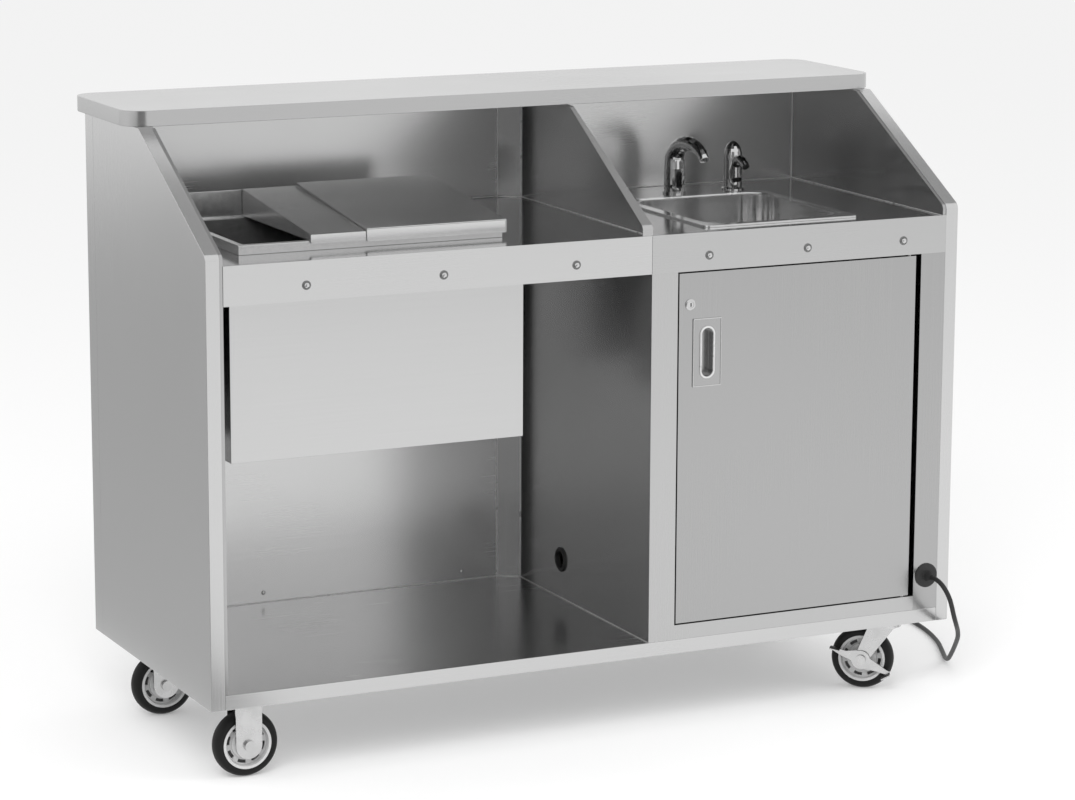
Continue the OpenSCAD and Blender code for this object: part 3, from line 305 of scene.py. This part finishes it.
def brushedSteel(name, look, grain=None):
    material, tree, shader = newMaterial(name)
    shader.inputs["Metallic"].default_value = look.get("metal", 1)
    streaks = patternNoise(tree, grain or look["grain"], steelGrain["detail"])
    clouds = patternNoise(tree, clouding["stretch"], clouding["detail"], clouding["centre"])
    tone, tint = look["tone"], steelGrain["tint"]
    tintByNoise(tree, shader, streaks, tone * (1 - tint), tone * (1 + tint))
    rough = tree.nodes.new("ShaderNodeMath")
    rough.operation = "ADD"
    spread = look.get("spread", steelGrain["spread"])
    fine = remap(tree, streaks, look["rough"] - spread, look["rough"] + spread)
    tree.links.new(fine, rough.inputs[0])
    tree.links.new(remap(tree, clouds, *clouding["rougher"]), rough.inputs[1])
    tree.links.new(rough.outputs[0], shader.inputs["Roughness"])
    addBump(tree, shader, streaks, look["bump"], steelGrain["depth"])
    return material


# Plain finishes: tone, roughness, metal share, spread of the tone, grains per metre and bump
plain = {
    # seam steel: a light, half-matte tone that is partly a painted highlight on beads and lips
    "seam_steel": (0.7, 0.3, 0.6, 0.05, 60, 0.02),
    "black_glass": (0.006, 0.1, 0, 0.02, 60, 0.01),
    "chrome": (0.6, 0.06, 1, 0.02, 30, 0.01),
    "zinc_plate": (0.62, 0.26, 1, 0.08, 40, 0.04),
    "black_plastic": (0.018, 0.34, 0, 0.1, 700, 0.08),
    "black_rubber": (0.014, 0.52, 0, 0.15, 500, 0.12),
    "tyre": (0.007, 0.58, 0, 0.2, 260, 0.15),
    "wheel_grey": (0.56, 0.42, 0, 0.05, 200, 0.06),
    "white_plastic": ((0.74, 0.75, 0.73), 0.42, 0, 0.03, 60, 0.06),
    "white_enamel": (0.72, 0.25, 0, 0.02, 25, 0.03),
    "grey_enamel": (0.2, 0.35, 0, 0.05, 300, 0.06),
}
plainGrain = {"detail": 4, "depth": 0.0003, "rougher": (-0.04, 0.05)}
tyreShine = 0.25


def plainFinish(name, tone, rough, metallic, spread, grains, bump):
    material, tree, shader = newMaterial(name)
    shader.inputs["Metallic"].default_value = metallic
    grain = patternNoise(tree, (grains, grains, grains), plainGrain["detail"])
    dark = tuple(part * (1 - spread) for part in threeTones(tone))
    light = tuple(part * (1 + spread) for part in threeTones(tone))
    tintByNoise(tree, shader, grain, dark, light)
    low, high = plainGrain["rougher"]
    tree.links.new(remap(tree, grain, rough + low, rough + high), shader.inputs["Roughness"])
    addBump(tree, shader, grain, bump, plainGrain["depth"])
    return material


finishes = {name: brushedSteel(name, look) for name, look in steels.items()}
upright = (900, 900, 3)
variants = {  # the same steels with the grain each sheet shows; the lower tone set per sheet is painted shade, for sheets that mirror dark surroundings
    "upright_steel": ("satin_steel", {}, upright),
    "door_steel": ("satin_steel", {"tone": 0.42}, upright),
    "stile_steel": ("satin_steel", {"tone": 0.42}, upright),
    "post_steel": ("satin_steel", {"tone": 0.51}, upright),
    "front_steel": ("satin_steel", {"tone": 0.52}, None),
    "counter_steel": ("satin_steel", {"tone": 0.49}, None),
    "inner_upright": (
        "inner_steel", {"tone": 0.48, "rough": 0.2, "bump": 0.008, "metal": 0.92}, upright,
    ),
    "liner_steel": ("inner_steel", {"tone": 0.44, "rough": 0.2, "bump": 0.008}, upright),
    "strip_steel": ("inner_steel", {"tone": 0.38, "bump": 0.008}, upright),
    "deck_steel": ("inner_steel", {"tone": 0.46, "bump": 0.03}, None),
    # the back wall's higher tone is painted light, for a wall that mirrors the bright front
    "wall_steel": (
        "inner_steel",
        {"tone": 0.64, "rough": 0.25, "bump": 0.015, "metal": 0.9, "spread": 0.008}, None,
    ),
    # a dark steel for the stud collars: its low tone is painted shade round the stud heads
    "dark_steel": ("satin_steel", {"tone": 0.2, "rough": 0.3}, None),
}
for name, (base, changes, grain) in variants.items():
    finishes[name] = brushedSteel(name, dict(steels[base], **changes), grain)
for name, look in plain.items():
    finishes[name] = plainFinish(name, *look)
tyreShader = finishes["tyre"].node_tree.nodes["Principled BSDF"]
tyreShader.inputs["Specular IOR Level"].default_value = tyreShine
print("materials made:", len(finishes))


def dressNode(name, finish):
    node = frame["nodes"][name]
    node.data.materials.clear()
    node.data.materials.append(finishes[finish])


slotOf = {row["node"]: row["material_slot"] for row in frame["record"]["subparts"]}
bodies = frame["record"]["behaviour"]["bodies"]
bodyOf = {part: body for body, parts in bodies.items() for part in parts}


# Modelling helpers
def startEdit(piece):  # by its corners, with none picked
    bpy.ops.object.select_all(action="DESELECT")
    piece.select_set(True)
    bpy.context.view_layer.objects.active = piece
    bpy.ops.object.mode_set(mode="EDIT")
    bpy.ops.mesh.select_mode(type="VERT")
    bpy.ops.mesh.select_all(action="DESELECT")


def endEdit():
    bpy.ops.object.mode_set(mode="OBJECT")


def applyAll(piece):
    bpy.ops.object.select_all(action="DESELECT")
    piece.select_set(True)
    bpy.context.view_layer.objects.active = piece
    bpy.ops.object.transform_apply(location=True, rotation=True, scale=True)
    for modifier in list(piece.modifiers):
        bpy.ops.object.modifier_apply(modifier=modifier.name)


def addRounding(piece, width, segments=2, angle=35):
    bevel = piece.modifiers.new("rounding", "BEVEL")
    bevel.width = width
    bevel.segments = segments
    bevel.limit_method = "ANGLE"
    bevel.angle_limit = math.radians(angle)


flatWeight = 60


def keepFlats(piece):  # flat faces keep their own normals beside a rounded edge
    weight = piece.modifiers.new("flats", "WEIGHTED_NORMAL")
    weight.mode = "FACE_AREA"
    weight.weight = flatWeight
    weight.keep_sharp = True
    bpy.ops.object.modifier_apply(modifier=weight.name)


def finishPiece(piece, finish, body, smooth=35, replaced=(), flat=True):
    applyAll(piece)
    bpy.ops.object.shade_smooth_by_angle(angle=math.radians(smooth))
    if flat:
        keepFlats(piece)
    piece.data.materials.clear()
    piece.data.materials.append(finishes[finish])
    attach(piece, body)
    if replaced:
        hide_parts(*replaced)
    return piece


def addBlock(name, low, high):  # corners in millimetres from the left front corner
    low, high = place(*low), place(*high)
    bpy.ops.mesh.primitive_cube_add(size=1, location=(low + high) / 2, scale=high - low)
    piece = bpy.context.object
    piece.name = name
    return piece


def addRod(name, start, end, radius, sides=32):  # a cylinder between two places
    start, end = place(*start), place(*end)
    along = end - start
    bpy.ops.mesh.primitive_cylinder_add(vertices=sides, radius=radius * mm, depth=along.length)
    piece = bpy.context.object
    piece.name = name
    piece.rotation_euler = along.to_track_quat("Z", "Y").to_euler()
    piece.location = (start + end) / 2
    return piece


def copyPiece(piece):  # a copy with its own mesh
    bpy.ops.object.select_all(action="DESELECT")
    piece.select_set(True)
    bpy.context.view_layer.objects.active = piece
    bpy.ops.object.duplicate()
    return bpy.context.object


def joinPieces(name, pieces):
    bpy.ops.object.select_all(action="DESELECT")
    for piece in pieces:
        piece.select_set(True)
    bpy.context.view_layer.objects.active = pieces[0]
    if len(pieces) > 1:
        bpy.ops.object.join()
    pieces[0].name = name
    return pieces[0]


mergeSpan = 0.00002
turns = {"Z": (0, 0, 0), "X": (0, math.radians(90), 0), "Y": (math.radians(-90), 0, 0)}


def addTurned(name, profile, centre, axis, sides):  # spins (radius, height) pairs about an axis
    points = [Vector((radius, 0, height)) * mm for radius, height in profile]
    bpy.ops.mesh.primitive_plane_add(size=1, location=(0, 0, 0))
    piece = bpy.context.object
    piece.name = name
    startEdit(piece)
    bpy.ops.mesh.select_all(action="SELECT")
    bpy.ops.mesh.merge(type="CENTER")
    bpy.ops.transform.translate(value=points[0])
    for last, point in zip(points, points[1:]):  # the profile is drawn out of one corner
        bpy.ops.mesh.extrude_region_move(TRANSFORM_OT_translate={"value": point - last})
    bpy.ops.mesh.select_all(action="SELECT")
    bpy.ops.mesh.spin(steps=sides, angle=math.tau, center=(0, 0, 0), axis=(0, 0, 1))
    bpy.ops.mesh.select_all(action="SELECT")
    bpy.ops.mesh.remove_doubles(threshold=mergeSpan)
    bpy.ops.mesh.normals_make_consistent(inside=False)
    endEdit()
    piece.rotation_euler = turns[axis]
    piece.location = place(*centre)
    return piece


# Supply cord: leaves the bushing, falls to the floor and runs round behind the bar to a stored coil
cord = {
    "diameter": 9.5, "pitch": 10.2, "coil": 104, "turns": 2.5, "steps": 24, "climb": 0.5,
    "leadIn": 10, "leadOut": 40, "routeSteps": 3, "roundness": 6, "digits": 3,
    "route": [  # millimetres from the left front corner and the floor
        (1527, -24.2, 251), (1527, -34, 251), (1527.4, -45.9, 249.4), (1528.6, -57, 244.8),
        (1530.5, -66.5, 237.5), (1533, -73.8, 228), (1535.9, -78.4, 216.9), (1539, -80, 205),
        (1543.5, -78.5, 192), (1549.5, -74.5, 178.5), (1557.5, -67, 166.5), (1567, -56, 155.5),
        (1578.5, -41, 145), (1592, -22.5, 132), (1607, 0, 115), (1625, 32, 96), (1643, 66, 76),
        (1660, 100, 55), (1676, 134, 34), (1692, 168, 16), (1708, 203, 7), (1726, 240, 4.75),
        (1744, 278, 4.75), (1762, 318, 4.75), (1777, 360, 4.75), (1789, 402, 4.75),
        (1798, 444, 4.75), (1804, 486, 4.75), (1807, 530, 4.75), (1808, 570, 4.75),
        (1808, 590, 4.75), (1808, 600, 4.75),
    ],
}


def coilPoints():  # two layers: the cord winds in on the floor, climbs one pitch and winds out
    outer = cord["coil"] / 2 + cord["turns"] * cord["pitch"] / 2
    inner = cord["coil"] / 2 - cord["turns"] * cord["pitch"] / 2
    endX, endY, floorZ = cord["route"][-1]
    middle = (endX - outer, endY + cord["leadIn"])
    points = []
    for step in range(int(2 * cord["turns"] * cord["steps"]) + 1):
        turn = step / cord["steps"]
        radius = inner + cord["pitch"] * abs(cord["turns"] - turn)
        past = (turn - cord["turns"]) / cord["climb"]  # the climb is half done at the innermost turn
        climb = min(max(past + 0.5, 0), 1)
        angle = math.tau * turn
        x = middle[0] + radius * math.cos(angle)
        y = middle[1] + radius * math.sin(angle)
        points.append((x, y, floorZ + cord["pitch"] * climb))
    lastX, lastY, lastZ = points[-1]
    return points + [(lastX, lastY + cord["leadOut"], lastZ)]


def smoothPoints(points, steps):  # the same smooth curve through the points as the solid has
    smooth = []
    for i in range(len(points) - 1):
        a, b = Vector(points[max(i - 1, 0)]), Vector(points[i])
        c, d = Vector(points[i + 1]), Vector(points[min(i + 2, len(points) - 1)])
        for step in range(steps):
            t = step / steps
            squared, cubed = 2 * a - 5 * b + 4 * c - d, 3 * b - a - 3 * c + d
            smooth.append((2 * b + (c - a) * t + squared * t**2 + cubed * t**3) / 2)
    return smooth + [Vector(points[-1])]


def addTube(name, points, radius, roundness, closed=False):  # a round tube along points
    bpy.ops.curve.primitive_nurbs_path_add()
    piece = bpy.context.object
    piece.name = name
    line = piece.data
    line.splines.clear()
    spline = line.splines.new("POLY")
    spline.points.add(len(points) - 1)
    for knot, point in zip(spline.points, points):
        knot.co = (*point, 1)
    spline.use_cyclic_u = closed
    line.dimensions = "3D"
    line.bevel_depth = radius * mm
    line.bevel_resolution = roundness
    line.use_fill_caps = not closed
    return piece


def makeCord():
    route = smoothPoints(cord["route"], cord["routeSteps"])
    coil = [Vector(point) for point in coilPoints()]
    points = [place(*point) for point in route + coil]
    piece = addTube("supplyCord", points, cord["diameter"] / 2, cord["roundness"])
    piece.data.materials.append(finishes["black_rubber"])
    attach(piece, "cabinet")
    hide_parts("supply_cord", "cord_coil")


makeCord()


# Finishes of the CAD nodes, where the finish differs from the slot's own; most of these steels carry a
# tone of painted shade or painted light for their sheet
finishOf = {
    "left_side_panel": "upright_steel", "right_side_panel": "upright_steel",
    "back_panel": "upright_steel", "centre_stile": "post_steel",
    "right_stile": "stile_steel", "door_panel": "door_steel",
    "right_fascia": "front_steel", "counter_top": "counter_steel", "side_liners": "liner_steel",
    "corner_strip": "strip_steel", "partition": "inner_upright", "left_deck": "deck_steel",
    "right_deck": "deck_steel", "back_liner": "wall_steel", "bin_well": "well_steel",
    "bin_collar": "well_steel", "door_pull": "door_steel", "rail_studs": "chrome",
    "lock_body": "chrome", "sensor_windows": "black_glass",
}
for name in frame["nodes"]:
    dressNode(name, finishOf.get(name, slotOf[name]))
print("nodes dressed")


# Sheet pieces with their folds rounded: a merged copy stands for each node, with its name and its
# rounding in millimetres
folded = {
    "base_pan": ("panSheet", 1.2), "left_side_panel": ("leftSideSheet", 1.6),
    "right_side_panel": ("rightSideSheet", 1.6), "side_liners": ("linerSheets", 0.9),
    "back_panel": ("backSheet", 1.6), "corner_strip": ("cornerStripSheet", 0.8),
    "partition": ("partitionSheet", 0.9),
    "centre_stile": ("centreStileSheet", 0.9), "right_stile": ("rightStileSheet", 0.9),
    "left_fascia": ("leftFasciaSheet", 0.9), "right_fascia": ("rightFasciaSheet", 0.9),
    "counter_top": ("counterSheet", 1.8), "bin_jacket": ("binJacketSheet", 0.9),
    "bin_well": ("binWellSheet", 0.9), "bin_collar": ("binCollarSheet", 0.9),
    "sliding_cover": ("slidingCoverSheet", 0.8), "lift_cover": ("liftCoverSheet", 0.8),
    "lift_cover_lip": ("liftCoverLip", 0.5), "sink_rim": ("sinkRim", 0.8),
    "door_panel": ("doorSheet", 0.9), "door_pull": ("pullCup", 0.6),
    "lock_body": ("lockBarrel", 0.4), "lock_plug": ("lockCam", 0.3),
    "rigid_forks": ("rigidForkSheets", 0.6), "swivel_plates": ("swivelTopPlates", 0.6),
    "front_yoke": ("frontYokeSheets", 0.6), "rear_yoke": ("rearYokeSheets", 0.6),
    "front_brake": ("frontBrakeLever", 0.6), "rear_brake": ("rearBrakeLever", 0.6),
    "rigid_axles": ("rigidAxleBolts", 0.5), "power_box": ("powerBoxCase", 1.5),
}


copyMerge = {"span": 0.00001, "flat": 0.5, "smooth": 40}  # metres, degrees, degrees


def copyNode(node, name):
    piece = copyPiece(frame["nodes"][node])
    piece.name = name
    piece.parent = None
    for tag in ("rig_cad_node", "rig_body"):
        del piece[tag]
    if piece.data.has_custom_normals:
        bpy.ops.mesh.customdata_custom_splitnormals_clear()
    startEdit(piece)
    bpy.ops.mesh.select_all(action="SELECT")
    bpy.ops.mesh.remove_doubles(threshold=copyMerge["span"])
    bpy.ops.mesh.dissolve_limited(angle_limit=math.radians(copyMerge["flat"]))
    endEdit()
    return piece


def finishCopy(piece, node):
    finish = finishOf.get(node, slotOf[node])
    finishPiece(piece, finish, bodyOf[node], copyMerge["smooth"], (node,))


def roundFolds(node, name, width):
    piece = copyNode(node, name)
    addRounding(piece, width * mm)
    finishCopy(piece, node)


for node, (name, width) in folded.items():
    roundFolds(node, name, width)
print("sheets folded:", len(folded))


# Decks: the turned-up edges are drawn tight, by drawing each end of a fold in to its inner corner, from
# just above the deck, so that the flat sheet keeps its corners. All places are in millimetres
foldShare = 0.2
decks = {
    "left_deck": {"name": "leftDeckSheet", "ends": [
        {"low": (33, 591, 977.05), "high": (35, 605, 990), "corner": (34, 604, 977)},
        {"low": (857, 591, 977.05), "high": (878, 605, 990), "corner": (858, 604, 977)},
        {"low": (888, 575, 977.05), "high": (902, 585, 990), "corner": (901, 576.5, 977)},
        {"low": (888, 21, 977.05), "high": (902, 23, 990), "corner": (901, 22, 977)},
    ]},
    "right_deck": {"name": "rightDeckSheet", "ends": [
        {"low": (902, 591, 977.05), "high": (904, 605, 990), "corner": (903, 604, 977)},
        {"low": (1545, 591, 977.05), "high": (1547, 605, 990), "corner": (1546, 604, 977)},
    ]},
}


def tightenFold(piece, end):
    low, high = place(*end["low"]), place(*end["high"])
    for vertex in piece.data.vertices:
        point = piece.matrix_world @ vertex.co
        vertex.select = all(low[i] < point[i] < high[i] for i in range(3))
    bpy.ops.object.mode_set(mode="EDIT")
    shares = (foldShare, foldShare, foldShare)
    bpy.ops.transform.resize(value=shares, center_override=place(*end["corner"]))
    endEdit()


def tightenDecks():
    for node, deck in decks.items():
        piece = copyNode(node, deck["name"])
        startEdit(piece)  # sets picking by corners
        endEdit()
        for end in deck["ends"]:
            tightenFold(piece, end)
        finishCopy(piece, node)


tightenDecks()
print("decks made:", len(decks))


# Wheels: a dark ring closes the slots of each wheel centre halfway through
wheelWeb = {
    "profile": [(30.5, -2), (40, -2), (40, 2), (30.5, 2), (30.5, -2)], "sides": 64, "axleZ": 63.5,
    "wheels": {
        "left_front_wheel": {"at": (95, 81), "axle": (0, 1)},
        "left_rear_wheel": {"at": (95, 530), "axle": (0, 1)},
        "right_front_wheel": {"at": (1450.5, 109.9), "axle": (0.643, 0.766)},
        "right_rear_wheel": {"at": (1450.5, 563.9), "axle": (0.643, 0.766)},
    },
}


def makeWheelWebs():
    wheels = wheelWeb["wheels"]
    first = addTurned("wheelWeb", wheelWeb["profile"], (0, 0, 0), "Z", wheelWeb["sides"])
    rings = [first] + [copyPiece(first) for _ in range(len(wheels) - 1)]
    for ring, (node, wheel) in zip(rings, wheels.items()):
        ring.name = node + "_web"
        ring.rotation_euler = Vector((*wheel["axle"], 0)).to_track_quat("Z", "Y").to_euler()
        ring.location = place(*wheel["at"], wheelWeb["axleZ"])
        finishPiece(ring, "black_plastic", bodyOf[node], flat=False)


makeWheelWebs()
print("wheel webs made")


# Pull: a rolled lip round the slot of the recessed cup, its light seam steel partly a painted highlight
pull = {
    "at": (1021, 746), "slot": (27, 97), "lip": 2.1, "lap": 0.4, "proud": 2.0, "lipRoundness": 5,
    "lipPoints": 48, "plate": (62, 133), "inset": 1, "bead": 1.3, "beadProud": 1.2, "beadSides": 12,
}


def makePullLip():
    middleX, middleZ = pull["at"]
    radius = pull["slot"][0] / 2 + pull["lip"] * pull["lap"]  # the lip laps the slot's edge
    rise = (pull["slot"][1] - pull["slot"][0]) / 2
    points = []
    for step in range(pull["lipPoints"]):
        angle = math.tau * step / pull["lipPoints"]
        shift = rise if angle < math.pi else -rise
        x = middleX + radius * math.cos(angle)
        points.append(place(x, -pull["proud"], middleZ + shift + radius * math.sin(angle)))
    piece = addTube("pullLip", points, pull["lip"], pull["lipRoundness"], closed=True)
    bpy.ops.object.convert(target="MESH")
    finishPiece(piece, "seam_steel", bodyOf["door_pull"], flat=False)


def makePullFrame():  # the pressed edge round the plate
    middleX, middleZ = pull["at"]
    halfX, halfZ = pull["plate"][0] / 2 - pull["inset"], pull["plate"][1] / 2 - pull["inset"]
    corners = [(-halfX, halfZ), (halfX, halfZ), (halfX, -halfZ), (-halfX, -halfZ)]
    beads = []
    for start, end in zip(corners, corners[1:] + corners[:1]):
        low = (middleX + start[0], -pull["beadProud"], middleZ + start[1])
        high = (middleX + end[0], -pull["beadProud"], middleZ + end[1])
        beads.append(addRod("pullFrame", low, high, pull["bead"], pull["beadSides"]))
    piece = joinPieces("pullFrame", beads)
    finishPiece(piece, "satin_steel", bodyOf["door_pull"], flat=False)


makePullLip()
makePullFrame()
print("pull trimmed")


# Small parts: key slot, tap nozzle, wall screws and the seam between the fascias
keySlot = {"low": (982.8, -2.8, 837.4), "high": (985.2, -0.8, 844.6)}
nozzle = {"start": (1214, 383, 1068), "end": (1214, 375.4, 1059.8), "radius": 10.6, "edge": 1.2}
wallScrew = {
    "places": [(340, 604, 202), (779, 604, 200)], "sides": 24,
    "profile": [(0, -2.4), (2.4, -2.1), (3.9, -1.1), (4.4, 0), (0, 0)],
}
fasciaSeam = {"low": (900.9, -0.1, 905.5), "high": (901.5, 0.4, 978.5)}


def makeSmallParts():
    # the key slot is a black block: painted shade inside the keyhole
    slot = addBlock("keySlot", keySlot["low"], keySlot["high"])
    finishPiece(slot, "black_plastic", bodyOf["lock_plug"])
    tip = addRod("tapNozzle", nozzle["start"], nozzle["end"], nozzle["radius"])
    addRounding(tip, nozzle["edge"] * mm)
    finishPiece(tip, "chrome", bodyOf["sensor_tap"])
    left, right = wallScrew["places"]
    first = addTurned("wallScrew1", wallScrew["profile"], left, "Y", wallScrew["sides"])
    second = copyPiece(first)
    second.name = "wallScrew2"
    second.location = place(*right)
    for screw in (first, second):
        finishPiece(screw, "zinc_plate", "cabinet", flat=False)
    # the seam between the fascias is a thin black strip: painted shade in the gap between the two
    # sheets
    line = addBlock("fasciaSeam", fasciaSeam["low"], fasciaSeam["high"])
    finishPiece(line, "black_plastic", "cabinet")


makeSmallParts()
print("small parts made")


# Welded seams where the inner sheets meet, as thin beads whose light tone is partly a painted highlight
# along the seams
weld = {"radius": 1.0, "sides": 12}
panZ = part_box("corner_strip")[0].z / mm
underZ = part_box("corner_strip")[1].z / mm
panSeamZ, deckZ, deckSeamZ = panZ + 0.4, 978, 977.6
wallY, deckWallY, stripY, deckStripY, frontSeamY = 603.4, 603.2, 577, 576.6, 4
bayLeft, seamLeft, sinkLeft, sinkEnd, sinkRight = 34.6, 36, 904, 1545, 1545.4
stripLeft, stripRight, deckStripLeft, deckStripRight = 859.2, 900.2, 857.6, 899.8
weldLines = [
    ((stripLeft, wallY, panZ), (stripLeft, wallY, underZ)),
    ((stripRight, stripY, panZ), (stripRight, stripY, underZ)),
    ((seamLeft, wallY, panSeamZ), (stripLeft, wallY, panSeamZ)),
    ((stripLeft, wallY, panSeamZ), (stripRight, stripY, panSeamZ)),
    ((stripRight, stripY, panSeamZ), (stripRight, frontSeamY, panSeamZ)),
    ((sinkRight, wallY, deckZ), (sinkRight, wallY, underZ)),
    ((sinkRight, wallY, deckZ), (sinkRight, frontSeamY, deckZ)),
    ((bayLeft, wallY, deckZ), (bayLeft, wallY, underZ)),
    ((seamLeft, deckWallY, deckSeamZ), (deckStripLeft, deckWallY, deckSeamZ)),
    ((deckStripLeft, deckWallY, deckSeamZ), (deckStripRight, deckStripY, deckSeamZ)),
    ((stripRight, deckStripY, deckSeamZ), (stripRight, frontSeamY, deckSeamZ)),
    ((sinkLeft, deckWallY, deckSeamZ), (sinkEnd, deckWallY, deckSeamZ)),
]


def makeSeams():
    beads = [addRod("seamBead", *line, weld["radius"], weld["sides"]) for line in weldLines]
    piece = joinPieces("seamBeads", beads)
    finishPiece(piece, "seam_steel", "cabinet", flat=False)


makeSeams()
print("seams made:", len(weldLines))


# Rail studs: a turned collar round each head, its dark tone a painted shadow ring round the head
studCollar = {
    "x": (195, 468, 741, 1024, 1240, 1456), "z": 934, "sides": 32, "profile": [
        (5.3, 0.3), (8.4, 0.3), (8.6, -0.7), (7.7, -1.7), (6.2, -2.0), (5.3, -1.4), (5.3, 0.3),
    ],
}


def makeStudCollars():
    places = [(x, 0, studCollar["z"]) for x in studCollar["x"]]
    first = addTurned("studCollar", studCollar["profile"], places[0], "Y", studCollar["sides"])
    rings = [first]
    for spot in places[1:]:
        rings.append(copyPiece(first))
        rings[-1].location = place(*spot)
    finishPiece(joinPieces("studCollars", rings), "dark_steel", "cabinet", flat=False)


makeStudCollars()
print("stud collars made")


# Toe pads: black rubber on the two treads of each brake lever. A tread's place is along the lever from
# the swivel's pivot and up from the floor, and its slope is in degrees
toePad = {
    "size": (11.6, 20.6, 2.6), "shift": (0, 9, 1.6), "edge": 0.6, "out": -32.5, "swivelTurn": 50,
    "treads": [{"along": 89, "up": 82, "slope": 12}, {"along": -15, "up": 37, "slope": -30}],
    "pivots": {"front_brake": (1485, 81), "rear_brake": (1485, 535)},
}


def makeToePads():
    turn = Matrix.Rotation(math.radians(toePad["swivelTurn"]), 4, "Z")
    size = Matrix.LocRotScale(None, None, Vector(toePad["size"]) * mm)
    lift = Matrix.Translation(Vector(toePad["shift"]) * mm)
    bpy.ops.mesh.primitive_cube_add(size=1, location=(0, 0, 0))
    block = bpy.context.object
    for node, pivot in toePad["pivots"].items():
        pads = []
        for tread in toePad["treads"]:
            middle = Matrix.Translation(Vector((toePad["out"], tread["along"], tread["up"])) * mm)
            tilt = Matrix.Rotation(math.radians(tread["slope"]), 4, "X")
            pads.append(copyPiece(block))
            pads[-1].matrix_world = (
                Matrix.Translation(place(*pivot, 0)) @ turn @ middle @ tilt @ lift @ size
            )
        piece = joinPieces(node + "_pads", pads)
        addRounding(piece, toePad["edge"] * mm)
        finishPiece(piece, "black_rubber", bodyOf[node])
    bpy.data.objects.remove(block)


makeToePads()
print("toe pads made")
